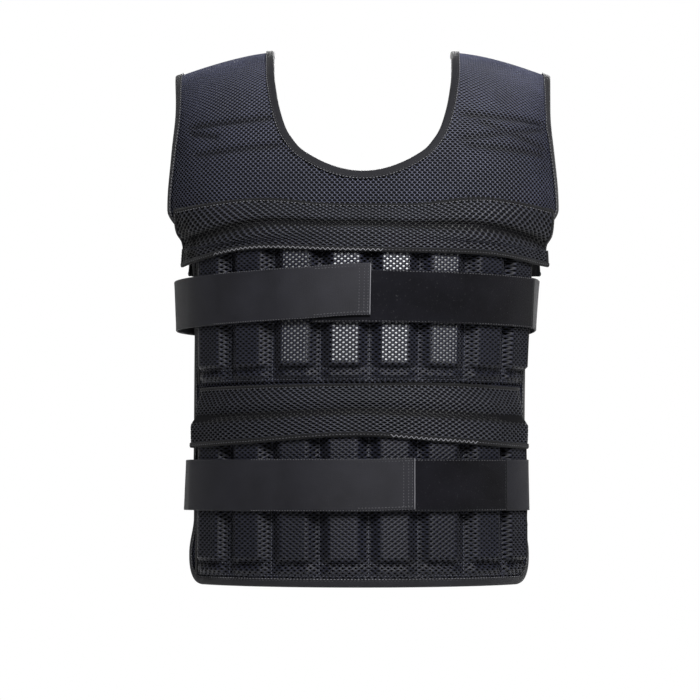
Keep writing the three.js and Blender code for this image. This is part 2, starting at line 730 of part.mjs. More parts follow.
// Strap, loop patch on its under end and hook patch below its upper end
function strapSet(prefix, size) {
  const loopLift = size.lift + STRAP + FIT;
  const hookLift = loopLift + HOOK_AND_LOOP + FIT;
  const topLift = hookLift + HOOK_AND_LOOP + FIT;
  const climbEnd = Math.floor((size.underEnd - LEAST_COLUMN) / STRAP_COLUMN) * STRAP_COLUMN;
  const hookStart = Math.floor(size.hookStart / STRAP_COLUMN) * STRAP_COLUMN;
  const climbStart = climbEnd - 2 * STRAP_COLUMN;
  const liftAt = ({ side, walk }) => {
    if (side > 0) return size.lift;
    const t = Math.min(Math.max((walk - climbStart) / (climbEnd - climbStart), 0), 1);
    return size.lift + t * (topLift - size.lift);
  };
  const place = (columns, lift) => columns.map((column) => ({ ...column, inner: lift(column) }));
  const strap = { ...size, width: STRAP_WIDTH, thickness: STRAP };
  const patch = { ...strap, width: STRAP_WIDTH - 2 * FIT, thickness: HOOK_AND_LOOP };
  const loopStops = place(frontStops(size.loopStart, size.loopEnd, 1), () => loopLift);
  const hookStops = place(frontStops(hookStart, size.upperEnd, -1), () => hookLift);
  const strapPath = place(strapStops(size.underEnd, size.upperEnd), liftAt);
  return [
    band(`${prefix}_strap`, strapPath, strap, WEBBING),
    band(`${prefix}_loop_patch`, loopStops, patch, LOOP_FACE),
    band(`${prefix}_hook_patch`, hookStops, patch, LOOP_FACE),
  ];
}

// How far the fullest pocket of a row stands off the panel
function crestOf(plateTopDrop, seamBand) {
  return Math.max(...pocketNodes(plateTopDrop, seamBand).flat().map((node) => node.outer));
}

const UPPER_CREST = crestOf(UPPER_PLATE_TOP_DROP, UPPER_SEAM_BAND);
const LOWER_CREST = crestOf(LOWER_PLATE_TOP_DROP, LOWER_SEAM_BAND);
const CHEST_FLAP = {
  crest: UPPER_CREST,
  drop: CHEST_FLAP_DROP,
  height: CHEST_FLAP_HEIGHT,
  half: CHEST_FLAP_HALF,
  halfTop: CHEST_FLAP_HALF_TOP,
  endLift: CHEST_FLAP_END_LIFT,
  wave: CHEST_FLAP_WAVE,
};
const MID_FLAP = {
  crest: LOWER_CREST,
  drop: MID_FLAP_DROP,
  height: MID_FLAP_HEIGHT,
  half: MID_FLAP_HALF,
  halfTop: MID_FLAP_HALF_TOP,
  endLift: MID_FLAP_END_LIFT,
  wave: MID_FLAP_WAVE,
};
const UPPER_STRAP = {
  lift: UPPER_CREST + STRAP_ROOM,
  drop: UPPER_STRAP_DROP,
  rise: UPPER_STRAP_RISE,
  ...UPPER_STRAP_ENDS,
  ...UPPER_STRAP_SIDES,
};
const LOWER_STRAP = {
  lift: LOWER_CREST + STRAP_ROOM,
  drop: LOWER_STRAP_DROP,
  rise: LOWER_STRAP_RISE,
  ...LOWER_STRAP_ENDS,
  ...LOWER_STRAP_SIDES,
};

const group = new THREE.Group();
for (const back of [false, true]) {
  const side = back ? "back" : "front";
  group.add(
    panel(`${side}_panel`, back),
    neckBinding(`${side}_neck_binding`, back),
    edgeBinding(`${side}_edge_binding`, back),
    pocketRow(`${side}_upper_pockets`, UPPER_PLATE_TOP_DROP, UPPER_SEAM_BAND, back),
    pocketRow(`${side}_lower_pockets`, LOWER_PLATE_TOP_DROP, LOWER_SEAM_BAND, back),
    flap(`${side}_chest_flap`, CHEST_FLAP, back),
    flap(`${side}_mid_flap`, MID_FLAP, back),
  );
  plateWalks().forEach((s, i) => {
    group.add(plate(`${side}_upper_plate_${i + 1}`, s, UPPER_PLATE_TOP_DROP, back));
    group.add(plate(`${side}_lower_plate_${i + 1}`, s, LOWER_PLATE_TOP_DROP, back));
  });
}
group.add(...strapSet("upper", UPPER_STRAP), ...strapSet("lower", LOWER_STRAP));

export default group;
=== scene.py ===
# Looks of a weighted vest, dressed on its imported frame.
# Tables and sizes are in millimetres, in the frame's axes, and become metres when a mesh is made.
import math

import bpy
import numpy as np
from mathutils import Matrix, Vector


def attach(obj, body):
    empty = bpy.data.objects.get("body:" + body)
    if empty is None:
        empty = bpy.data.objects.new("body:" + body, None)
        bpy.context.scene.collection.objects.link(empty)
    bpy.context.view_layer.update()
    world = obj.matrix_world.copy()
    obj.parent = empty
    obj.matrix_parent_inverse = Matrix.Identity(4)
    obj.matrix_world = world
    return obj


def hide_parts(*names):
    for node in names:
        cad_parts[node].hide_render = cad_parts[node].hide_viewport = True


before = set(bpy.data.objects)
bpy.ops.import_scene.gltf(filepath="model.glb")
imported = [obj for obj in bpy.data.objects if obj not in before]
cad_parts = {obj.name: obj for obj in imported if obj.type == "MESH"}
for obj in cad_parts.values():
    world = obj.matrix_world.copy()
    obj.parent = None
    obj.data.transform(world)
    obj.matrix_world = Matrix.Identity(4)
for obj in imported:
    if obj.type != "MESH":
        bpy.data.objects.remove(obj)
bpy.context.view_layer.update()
MM = 0.001

# Body form, as in the solids
HEM_DROP = 517
DOME_DROP = 148
RIDGE_RISE = 20
RIDGE_FALL = 29
RIDGE_POWER = 1.5
CHEST_HALF_WIDTH = 202
CHEST_DEPTH = 126
SHOULDER_SHIFT = 4
PANEL = 4
SIDE_HALF_WIDTH = 193
HEM_CORNER = 26
NECK_HALF_WIDTH = 91
NECK_SHARE = 0.115
NECK_TURN_SHARE = 0.215
BACK_NECK_WIDER = 12
SKIRT = HEM_DROP - DOME_DROP
DOME_ARC = math.pi / 4 * (DOME_DROP + RIDGE_RISE + CHEST_DEPTH)
NECK_TURN = NECK_TURN_SHARE * DOME_ARC
SECTIONS = {
    "share": [0, 0.1, 0.42, 0.6, 1],
    "width": [1, 0.892, 0.858, 0.851, 0.876],
    "depth": [1, 1.03, 1.04, 1.04, 1.07],
    "squareness": [3, 2.15, 2.06, 2.02, 2],
}
SIDE_EDGE = {
    "share": [0, 0.073, 0.155, 0.344, 0.68, 0.827, 0.92, 1],
    "width": [1, 0.91, 0.865, 0.848, 0.848, 0.842, 0.868, 0.868],
}
ARM_EDGE = {"share": [0, 0.24, 0.46, 1], "width": [1, 0.98, 0.965, 0.985]}
NECK_EDGE = {
    "share": [0.215, 0.265, 0.32, 0.435, 0.6, 1],
    "width": [0.715, 0.805, 0.865, 0.935, 0.98, 1],
}

# Tables of the body form: rows down it, steps of a walk round it, and the step that measures a slope
PLAN_DROPS = 124
WALK_STEP = 0.5
WALK_MAX = 520
SLOPE_STEP = 1.2
ARC_ROWS = 90
ARC_MAX = 330

# Tape folded over the edges: half of its flat width on each side
TAPE = 1
TAPE_LEG = 6.5
TAPE_OUTER_ROOM = 0.8
TAPE_INNER_ROOM = 1.2
TAPE_FOLD = 1.3
TAPE_LOW = -PANEL - TAPE_INNER_ROOM
TAPE_TOP = TAPE_OUTER_ROOM + TAPE
TAPE_SECTION = [
    (-TAPE_LEG, TAPE_OUTER_ROOM), (-TAPE_LEG - 0.3, TAPE_TOP - 0.5), (-TAPE_LEG + 0.3, TAPE_TOP),
    (-TAPE_LEG + 1.6, TAPE_TOP - 0.3), (-3, TAPE_TOP), (-1, TAPE_TOP + 0.15), (0.6, TAPE_TOP - 0.4),
    (TAPE_FOLD, TAPE_TOP - 1.9), (TAPE_FOLD, TAPE_LOW + 0.9), (0.6, TAPE_LOW - 0.6), (-1, TAPE_LOW - TAPE),
    (-TAPE_LEG, TAPE_LOW - TAPE), (-TAPE_LEG, TAPE_LOW), (0.2, TAPE_LOW), (0.2, TAPE_OUTER_ROOM),
]
TAPE_WAVE = {"height": 0.25, "length": 9, "edge": -5}
TAPE_SEAMS = [
    {"reach": 1.6 - TAPE_LEG, "rise": -0.2, "thread": "dark", "kind": "tape"},
    {"reach": -TAPE_LEG - 0.1, "rise": 0, "thread": "light", "kind": "tape_rim"},
]

# Pocket rows with their steel bars
POCKETS = 8
LEFT_POCKET = 53.2
RIGHT_POCKET = 34.9
POCKET_SHEET = 1.2
SEAM_LIFT = 0.8
FIT = 0.3
PLATE_WIDTH = 25
PLATE_LENGTH = 116
PLATE_THICKNESS = 8
PLATE_BEVEL = 0.8
POCKET_MOUTH = 10
POCKET_FOLD = 2
UPPER_ROW = {"name": "upper", "plate_drop": 186, "band": 19}
LOWER_ROW = {"name": "lower", "plate_drop": 373, "band": 20.5}

# How full a pocket is: at its mouth, at both ends of its bar, and at its seam, puff and hem below the bar
POCKET_FILL = [0, 1, 1, 0.15, 0.62, 0]
BAND_SEAM = 0.35
BAND_PUFF = 0.65
PUFF = {"power": 0.75, "height": 0.98}
POCKET_HEM = {"back": 2.2, "rise": 0.2}
POCKET_SEAM_RISE = 0.1
TUFTS = {"height": 0.5, "length": 2.9, "below": 7, "spread": 3}

# Hem down the sides of a pocket row: how far in from the edge, and how high over the mesh
POCKET_SIDE = {
    "inset": [6.5, 6, 4.5, 3, 1.5, 0.4, -0.3, -0.3],
    "rise": [-0.9, 0.35, 0.45, 0.45, 0.4, 0.3, -0.6, -1.6],
}

# Where the panel's own mesh shows: above the pockets, beside them, between their rows and below them
BARE = {"above": -14, "beside": 9, "between": 4, "gap": 8, "below": 3}
NET_MARGIN = 2
SKIN_GAP = 0.1

# Creases pressed across the left end of the chest flap, from and to places on its flat cloth
FLAP_CREASES = [
    {"start": (-199, -5), "end": (-171, -27), "depth": 1.9},
    {"start": (-198, -29), "end": (-178, -9), "depth": 1.7},
    {"start": (-186, -19), "end": (-188, -44), "depth": 1.9},
    {"start": (-196, -36), "end": (-168, -44), "depth": 1.4},
]

# Padded flaps
CHEST_FLAP = {
    "name": "chest", "row": "upper", "drop": 146, "height": 50, "half": 200, "half_top": 197, "groove": 0.44,
    "end_lift": (0.8, 1.3), "thin_sides": 0, "creases": FLAP_CREASES,
    "light": (-0.72, 0.1), "thread": "light",
    "place": [-1, -0.5, -0.1, 0.2, 0.58, 1],
    "seam": [-0.05, 0.05, -0.06, -0.06, 0.07, -0.05],
    "edge": [-0.14, 0.07, -0.01, -0.03, -0.02, -0.12],
}
MID_FLAP = {
    "name": "mid", "row": "lower", "drop": 323, "height": 51, "half": 187.5, "half_top": 183, "groove": 0.53,
    "end_lift": (0.2, 0.3), "thin_sides": 0.55, "creases": [],
    "light": (0.15, 0.6), "thread": "grey",
    "place": [-1, -0.6, 0, 0.4, 1],
    "seam": [-0.03, -0.02, 0, 0.02, -0.02],
    "edge": [-0.2, -0.14, 0, -0.1, -0.22],
}
FLAP_PADDING = 4.5
FLAP_HEM = 4.5
FLAP_TOP_HEM = 0.06
FLAP_GROOVE = {"depth": 2.2, "width": 0.06, "shade": 0.9, "left_past": 0.4}
FLAP_NECK = {"start": 0.12, "length": 0.2}
FLAP_THIN = {"start": 0.7, "length": 0.15}
FLAP_SKIN = {"sunk": 0.15, "least": 0.3}
FLAP_END_STOPS = (0.3, 0.95)
FLAP_PROFILE = {
    "share": [0, 0.12, 0.3, 0.47, 0.62, 0.82, 1],
    "inner": [0.12, 0.13, 0.3, 0.55, 1.05, 1.05, 1.05],
    "padding": [0.4, 1.1, 1.5, 0.55, 0.95, 0.85, 0.45],
}
HEM_BAND = {
    "across": [0, 0.12, 0.5, 0.85, 1, 1.02],
    "rise": [-0.6, 0.5, 0.75, 0.55, -0.3, -1.6],
}
FLAP_THREADS = {"top": 0.055, "top_rise": 0.55, "quilt_rise": 0.1, "hem": 0.45, "end": 0.5, "end_rise": 0.7}
ZIGZAG = {"length": 4.6, "share": 0.4, "swing": 0.2, "rise": 0.75, "radius": 0.42}

# Straps
STRAP_WIDTH = 50
STRAP = 1.6
PATCH = 1
STRAP_ROOM = 0.9
STRAP_REACH = 196
STRAP_HOLD = 180
STRAP_COLUMN = 30
STRAP_STEP = 3.0
SWAY = {"height": 0.25, "round": 200, "across": 40}
STRAP_SECTION = {
    "across": [-0.5, -0.47, 0.47, 0.5, 0.5, 0.487, 0.46, 0.3, 0.1, -0.1, -0.3, -0.46, -0.487, -0.5],
    "rise": [0.2, 0, 0, 0.2, 0.8, 1.05, 1, 0.97, 1, 1, 0.97, 1, 1.05, 0.8],
}
UPPER_STRAP = {
    "name": "upper", "width": STRAP_WIDTH, "drop": 240, "reach": [-1, -0.3, 0.02], "rise": [0, 0.06, 0.13],
    "under_end": -44, "upper_end": 9, "loop_start": -42, "loop_end": 180, "hook_start": -24,
    "left_lift": 11, "right_lift": 2,
}
LOWER_STRAP = {
    "name": "lower", "width": STRAP_WIDTH, "drop": 421, "reach": [-1, 0, 0.3], "rise": [0, 0, 0.03],
    "under_end": -4, "upper_end": 50, "loop_start": -2, "loop_end": 146, "hook_start": 0,
    "left_lift": 1, "right_lift": -7.5,
}

# Rows sewn along a strap's upper end, from how far back, and lines sewn across it and its bound tip
STRAP_SEAMS = [
    {"back": 52, "across": 0.44, "kind": "strap_box"},
    {"back": 150, "across": 0.488, "kind": "strap_edge"},
]
STRAP_END_SEAMS = (2.5, 6, 10.5)
STRAP_TIP = {"back": 0.5, "inset": 0.01, "radius": 0.45}
PATCH_SEAMS = {"across": 0.485, "back": 2.5}
CROSS_POINTS = 40
CROSS_INSET = 0.04

# Stitches: length, gap, width and height of each raised thread
STITCHES = {
    "tape": (2.6, 0.9, 0.8, 0.35),
    "tape_rim": (3.0, 0.3, 0.9, 0.45),
    "pocket": (2.8, 0.6, 0.9, 0.4),
    "hem": (2.4, 0.9, 0.8, 0.35),
    "flap_seam": (2.8, 0.6, 0.8, 0.4),
    "quilting": (2.2, 1.2, 0.7, 0.3),
    "flap_end": (1.8, 1.3, 1.0, 0.45),
    "strap_box": (2.4, 0.8, 0.9, 0.4),
    "strap_edge": (1.6, 1.1, 0.9, 0.4),
    "strap_end": (2.0, 0.9, 0.8, 0.4),
    "patch": (2.2, 1.0, 0.8, 0.35),
}

# Holes of the spacer mesh: width and height of a cell, and the shares of both that are open
CHEST_MESH = {"cell": 5.0, "row": 2.2, "open": (0.58, 0.84), "depth": 1.0}
POCKET_MESH = {"cell": 6.1, "row": 2.3, "open": (0.35, 0.61), "depth": 0.8}
FLAP_MESH = {"cell": 6.4, "row": 1.95, "open": (0.54, 0.84), "depth": 1.0}

# Creases pressed across the shoulders, from and to a walk and a height
SHOULDER_CREASES = [
    {"start": (-179, -67.8), "end": (-87, -62), "depth": 2.5},
    {"start": (-179, -74), "end": (-144, -80), "depth": 2.3},
    {"start": (-175, -97), "end": (-79, -90), "depth": 2.3},
    {"start": (97, -57.5), "end": (192, -63), "depth": 2.5},
    {"start": (92, -83.6), "end": (195, -68), "depth": 2.0},
    {"start": (113, -64), "end": (194, -91), "depth": 2.0},
    {"start": (100, -89.5), "end": (191, -95.6), "depth": 2.3},
]
CREASE_WIDTH = 3.6
CREASE_FADE = 8
CREASE_END = 0.4
CREASE_SHADE = 0.12
CREASE_UNDER = 0.5

# Slow unevenness of worn cloth, and where it fades out on the panel
UNEVEN = 0.5
RIPPLES = [
    {"size": 1, "across": 31, "up": 23, "phase": 0.6},
    {"size": 0.7, "across": 17, "up": -29, "phase": 2.1},
    {"size": 0.5, "across": 47, "up": 13, "phase": 0},
]
RIPPLE_ENDS = {"low": 10, "low_length": 30, "high_length": 25}

# Procedural textures: features a metre, their shares and levels, and relief in metres
CLOUDS = 26.0
FLUFF = 620.0
STEEL_CLOUDS = 60.0
BRUSHING = (900, 900, 30)
GRAIN_SHARE = 0.45
CLOUD_LEVELS = (0.45, 1.0)
FLUFF_LEVELS = (0.66, 0.74)
WEAVE_BEND = {"Distortion": 1.2, "Detail": 1.0, "Detail Scale": 2.0}
WEAVE_GRAIN = 0.4
WEAVE_LEVELS = (0.55, 1.15)
WEAVE_SHADE = 0.55
# Level of the painted shade attribute where a hole's rim gets its full painted shade
PAINTED_SHADE_END = 0.6
CLOTH_RELIEF = 0.0006
STEEL_RELIEF = 0.0003

# Camera fitted to the photo's framing
CAMERA_PLACE = (0, -2350, -410.7)
CAMERA_PITCH = 3.092
CAMERA_YAW = 0.222
CAMERA_LENS = 118.86
FLOOR_HEIGHT = -900
FLOOR_WIDTH = 5000
BACKDROP = {"away": 8000, "height": 150, "width": 5500}

# Lamps with their width in metres and power in watts, all turned to one place
LIGHTS = {
    "key": {"place": (260, -1100, 380), "width": 0.5, "power": 36},
    "fill": {"place": (-1200, -2400, 400), "width": 1.6, "power": 3},
    "behind": {"place": (300, 2200, 700), "width": 1.2, "power": 110},
    "left_side": {"place": (-2000, 1900, 200), "width": 1.0, "power": 6},
    "right_side": {"place": (2000, 1900, 200), "width": 1.0, "power": 12},
}
LIGHT_AIM = (0, 0, -250)
WORLD_LIGHT = 0.12


def smooth(places, values, place):
    """Monotone curve through a table, at an array of places."""
    places = np.asarray(places, float)
    values = np.asarray(values, float)
    place = np.clip(np.asarray(place, float), places[0], places[-1])
    steps = np.diff(places)
    rises = np.diff(values) / steps
    slopes = np.zeros(len(places))
    level = rises[:-1] * rises[1:] <= 0
    total = np.where(level, 1, rises[:-1] + rises[1:])
    slopes[1:-1] = np.where(level, 0, 2 * rises[:-1] * rises[1:] / total)
    i = np.clip(np.searchsorted(places, place, side="right") - 1, 0, len(steps) - 1)
    t = (place - places[i]) / steps[i]
    near = (1 + 2 * t) * (1 - t) ** 2 * values[i] + t * (1 - t) ** 2 * steps[i] * slopes[i]
    far = t * t * (3 - 2 * t) * values[i + 1] + t * t * (t - 1) * steps[i] * slopes[i + 1]
    return near + far


def eased(t):
    return t * t * (3 - 2 * t)


def plan_tables():
    """Plan sections down the body: x and y by walk, the walk by x, and half of each girth."""
    angle = np.linspace(0, math.pi, 1441)
    walks = np.arange(0, WALK_MAX, WALK_STEP)
    widths = np.arange(0, CHEST_HALF_WIDTH + 1, WALK_STEP)
    xs, ys, reach, girths = [], [], [], []
    for share in np.linspace(0, 1, PLAN_DROPS + 1):
        width = CHEST_HALF_WIDTH * smooth(SECTIONS["share"], SECTIONS["width"], share)
        depth = CHEST_DEPTH * smooth(SECTIONS["share"], SECTIONS["depth"], share)
        power = 2 / smooth(SECTIONS["share"], SECTIONS["squareness"], share)
        x = width * np.abs(np.sin(angle)) ** power
        y = -depth * np.sign(np.cos(angle)) * np.abs(np.cos(angle)) ** power
        along = np.concatenate([[0], np.cumsum(np.hypot(np.diff(x), np.diff(y)))])
        front = slice(0, len(angle) // 2 + 1)
        xs.append(np.interp(walks, along, x))
        ys.append(np.interp(walks, along, y))
        reach.append(np.interp(widths, x[front], along[front]))
        girths.append(along[-1])
    return np.array(xs), np.array(ys), np.array(reach), np.array(girths)


PLAN_X, PLAN_Y, PLAN_REACH, HALF_GIRTHS = plan_tables()


def lookup(table, drop, place):
    """Value of a plan table at drops and places, between its rows and columns."""
    row = np.clip(np.asarray(drop, float) / SKIRT * PLAN_DROPS, 0, len(table) - 1.001)
    column = np.clip(np.asarray(place, float) / WALK_STEP, 0, table.shape[1] - 1.001)
    i, j = row.astype(int), column.astype(int)
    a, b = row - i, column - j
    near = table[i, j] * (1 - a) + table[i + 1, j] * a
    far = table[i, j + 1] * (1 - a) + table[i + 1, j + 1] * a
    return near * (1 - b) + far * b


def half_girth(h):
    """Walk from the middle of the front to the middle of the back, at heights."""
    return np.interp(np.clip(-h, 0, SKIRT) / SKIRT, np.linspace(0, 1, len(HALF_GIRTHS)), HALF_GIRTHS)


def surface(s, h):
    """Points of the cloth surface: s walks round the body, h climbs from the hem over the dome."""
    s, h = np.broadcast_arrays(np.asarray(s, float), np.asarray(h, float))
    drop = np.maximum(-h, 0)
    x = np.sign(s) * lookup(PLAN_X, drop, abs(s))
    y = lookup(PLAN_Y, drop, abs(s))
    angle = math.pi / 2 * np.maximum(h, 0) / DOME_ARC
    out = np.maximum(abs(x) - NECK_HALF_WIDTH, 0) / (CHEST_HALF_WIDTH - NECK_HALF_WIDTH)
    ridge = RIDGE_RISE - RIDGE_FALL * out ** RIDGE_POWER
    z = np.where(h > 0, (ridge + DOME_DROP) * np.sin(angle) - DOME_DROP, h - DOME_DROP)
    t = np.clip((z + HEM_DROP) / SKIRT, 0, 1)
    return np.stack([x + SHOULDER_SHIFT * t ** 3, y * np.cos(angle), z], -1)


def slopes(s, h):
    across = (surface(s + SLOPE_STEP, h) - surface(s - SLOPE_STEP, h)) / (2 * SLOPE_STEP)
    up = (surface(s, h + SLOPE_STEP) - surface(s, h - SLOPE_STEP)) / (2 * SLOPE_STEP)
    return across, up


def unit(vectors):
    return vectors / np.maximum(np.linalg.norm(vectors, axis=-1, keepdims=True), 1e-9)


def normals(s, h):
    across, up = slopes(s, h)
    return unit(np.cross(across, up))


def lifted(s, h, lift):
    s, h, lift = np.broadcast_arrays(*(np.asarray(v, float) for v in (s, h, lift)))
    return surface(s, h) + normals(s, h) * lift[..., None]


def seam(s, h, lift):
    """Points of a line off the surface, with its outward directions."""
    return lifted(s, h, lift), normals(s, h)


def walked(points):
    """Distance walked along a line of points, at each of them."""
    return np.concatenate([[0], np.cumsum(np.linalg.norm(np.diff(points, axis=0), axis=1))])


def height_of(drop):
    return DOME_DROP - np.asarray(drop, float)


def walk_to(h, x):
    return lookup(PLAN_REACH, np.maximum(-np.asarray(h, float), 0), np.abs(x))


def edge_walk(h, inset=0):
    """Walk to a panel's edge at heights, with the hem's round corner."""
    h = np.asarray(h, float)
    arm = smooth(ARM_EDGE["share"], ARM_EDGE["width"], h / DOME_ARC)
    side = smooth(SIDE_EDGE["share"], SIDE_EDGE["width"], -h / SKIRT)
    walk = walk_to(h, SIDE_HALF_WIDTH * np.where(h > 0, arm, side))
    below = np.maximum(HEM_CORNER - (h + SKIRT), 0)
    corner = walk - HEM_CORNER + np.sqrt(np.maximum((HEM_CORNER - inset) ** 2 - below ** 2, 0))
    return np.where(below > 0, corner, walk - inset)


def neck_walk(h, wider):
    share = np.asarray(h, float) / DOME_ARC
    half = NECK_HALF_WIDTH * smooth(NECK_EDGE["share"], NECK_EDGE["width"], share)
    return walk_to(0, half + wider * np.sin(math.pi * np.minimum(share, 1)))


def neck_floor(s, split):
    lowest = NECK_SHARE * DOME_ARC
    return lowest + (NECK_TURN - lowest) * (np.asarray(s, float) / split) ** 2


def neck_side(wider):
    """Heights and walks up the side of the neck."""
    h = np.linspace(NECK_TURN, DOME_ARC, 60)
    return h, neck_walk(h, wider)


def hem_corner(count):
    """Heights up the hem's round corner."""
    return HEM_CORNER * (1 - np.cos(np.linspace(0, math.pi / 2, count))) - SKIRT


ARC_HEIGHTS = np.linspace(0, DOME_ARC, ARC_ROWS)
ARC_WALKS = np.arange(0, ARC_MAX, 1.0)
ARC_LENGTHS = [walked(surface(ARC_WALKS, h)) for h in ARC_HEIGHTS]


def walk_of(u, h):
    """Walks at places on the flat cloth: distances along the dome's surface from its middle."""
    row = np.clip(h / DOME_ARC * (ARC_ROWS - 1), 0, ARC_ROWS - 1.001)
    i = row.astype(int)
    found = np.zeros(len(u))
    for k in range(ARC_ROWS - 1):
        here = i == k
        if here.any():
            a, b = (np.interp(abs(u[here]), ARC_LENGTHS[j], ARC_WALKS) for j in (k, k + 1))
            found[here] = a + (row[here] - k) * (b - a)
    return np.sign(u) * found


def crease(rows, across, up):
    """Depth of the pressed creases of a table at places on a cloth."""
    depth = np.zeros(np.shape(across))
    for row in rows:
        a, b = np.array(row["start"], float), np.array(row["end"], float)
        run = b - a
        t = np.clip(((across - a[0]) * run[0] + (up - a[1]) * run[1]) / (run @ run), 0, 1)
        away = np.hypot(across - a[0] - t * run[0], up - a[1] - t * run[1]) / CREASE_WIDTH
        fade = np.clip(CREASE_FADE * np.minimum(t, 1 - t) + CREASE_END, 0, 1)
        depth = np.maximum(depth, row["depth"] * fade * np.exp(-away ** 2))
    return depth


def shoulder_crease(s, h):
    return crease(SHOULDER_CREASES, s, surface(s, h)[..., 2])


def ripple(s, h, size):
    waves = sum(row["size"] * np.sin(s / row["across"] + h / row["up"] + row["phase"]) for row in RIPPLES)
    return size * waves / sum(row["size"] for row in RIPPLES)


def panel_lift(s, h):
    """Outer face of the panel's cloth off its surface."""
    s, h = np.broadcast_arrays(np.asarray(s, float), np.asarray(h, float))
    low = np.clip((h + RIPPLE_ENDS["low"]) / RIPPLE_ENDS["low_length"], 0, 1)
    high = np.clip((DOME_ARC - h) / RIPPLE_ENDS["high_length"], 0, 1)
    return -shoulder_crease(s, h) + ripple(s, h, UNEVEN) * low * high


class Piece:
    """Parts gathered into one mesh, each with its own material."""

    def __init__(self, name, back=False):
        self.name = name
        self.back = back
        self.points, self.faces, self.flat, self.slots, self.materials = [], [], [], [], []
        self.deep = []
        self.count = 0

    def cover(self, faces, material, start):
        """Add faces over points that are counted from a start."""
        if material not in self.materials:
            self.materials.append(material)
        self.faces.append((np.asarray(faces) + start).tolist())
        self.slots.extend([self.materials.index(material)] * len(faces))

    def add(self, points, faces, material, flat=None, clamp=True, deep=0):
        """Add points and their faces; a clamped part stays on its own side of the shoulder seam."""
        points = np.array(points, float).reshape(-1, 3)
        if clamp:
            points[:, 1] = np.minimum(points[:, 1], 0)
        flat = np.zeros((len(points), 2)) if flat is None else np.array(flat, float).reshape(-1, 2)
        self.points.append(points)
        self.flat.append(flat)
        # deep carries painted shade, from 0 on the strands to 1 at hole rims and creases
        self.deep.append(np.broadcast_to(np.asarray(deep, float), len(points)))
        self.cover(faces, material, self.count)
        self.count += len(points)

    def build(self, slot, *nodes):
        points = np.concatenate(self.points) * MM
        faces = [face for part in self.faces for face in part]
        if self.back:
            points[:, 1] *= -1
            faces = [face[::-1] for face in faces]
        mesh = bpy.data.meshes.new(self.name)
        mesh.from_pydata(points.tolist(), [], faces)
        for material in self.materials:
            mesh.materials.append(material)
        mesh.polygons.foreach_set("material_index", self.slots)
        mesh.polygons.foreach_set("use_smooth", [True] * len(faces))
        corners = np.zeros(len(mesh.loops), int)
        mesh.loops.foreach_get("vertex_index", corners)
        layer = mesh.uv_layers.new(name="flat")
        layer.data.foreach_set("uv", (np.concatenate(self.flat)[corners] * MM).ravel())
        # The deep attribute is painted shade, which the yarn materials darken with
        depth = mesh.attributes.new("deep", "FLOAT", "POINT")
        depth.data.foreach_set("value", np.concatenate(self.deep))
        mesh.update()
        piece = bpy.data.objects.new(self.name, mesh)
        bpy.context.scene.collection.objects.link(piece)
        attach(piece, "root")
        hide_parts(*nodes)
        return piece


def quads(index):
    """Faces between the rows and columns of a table of points."""
    corners = [index[:-1, :-1], index[:-1, 1:], index[1:, 1:], index[1:, :-1]]
    return np.stack(corners, -1).reshape(-1, 4)


def grid(rows, columns, ring=False):
    """Faces of a grid of points, row by row, closed across its rows where it is a ring."""
    index = np.arange(rows * columns).reshape(rows, columns)
    return quads(np.hstack([index, index[:, :1]]) if ring else index)


def sleeve(piece, material, points, flat=None, flip_walls=False, flip_ends=False, clamp=False):
    """Closed form of rings of points, with a face over each of its two ends."""
    rows, sides = points.shape[:2]
    faces = grid(rows, sides, ring=True)
    ends = np.array([np.arange(sides)[::-1], np.arange(sides) + (rows - 1) * sides])
    if flip_walls:
        faces = faces[:, ::-1]
    if flip_ends:
        ends = ends[:, ::-1]
    start = piece.count
    piece.add(points, faces, material, flat, clamp)
    piece.cover(ends, material, start)


def tube(piece, material, line, out, radius, sides=5):
    """Round thread along a line of points."""
    run = unit(np.gradient(line, axis=0))
    side = unit(np.cross(out, run))
    up = np.cross(run, side)
    angle = np.arange(sides) * 2 * math.pi / sides
    ring = side[:, None] * np.cos(angle)[:, None] + up[:, None] * np.sin(angle)[:, None]
    sleeve(piece, material, line[:, None] + ring * radius)


def thick(piece, outer, inner, faces, material, lining, flat):
    """Two faces of a cloth with a wall along each free edge."""
    count = len(outer)
    sides = np.concatenate([faces[:, [0, 1]], faces[:, [1, 2]], faces[:, [2, 3]], faces[:, [3, 0]]])
    keys = set(map(tuple, sides.tolist()))
    free = [(a, b) for a, b in sides.tolist() if (b, a) not in keys]
    walls = [(a + count, b + count, b, a) for a, b in free]
    start = piece.count
    both = np.concatenate([outer, inner])
    piece.add(both, np.concatenate([faces, walls]), material, np.concatenate([flat, flat]))
    piece.cover(faces[:, ::-1] + count, lining, start)


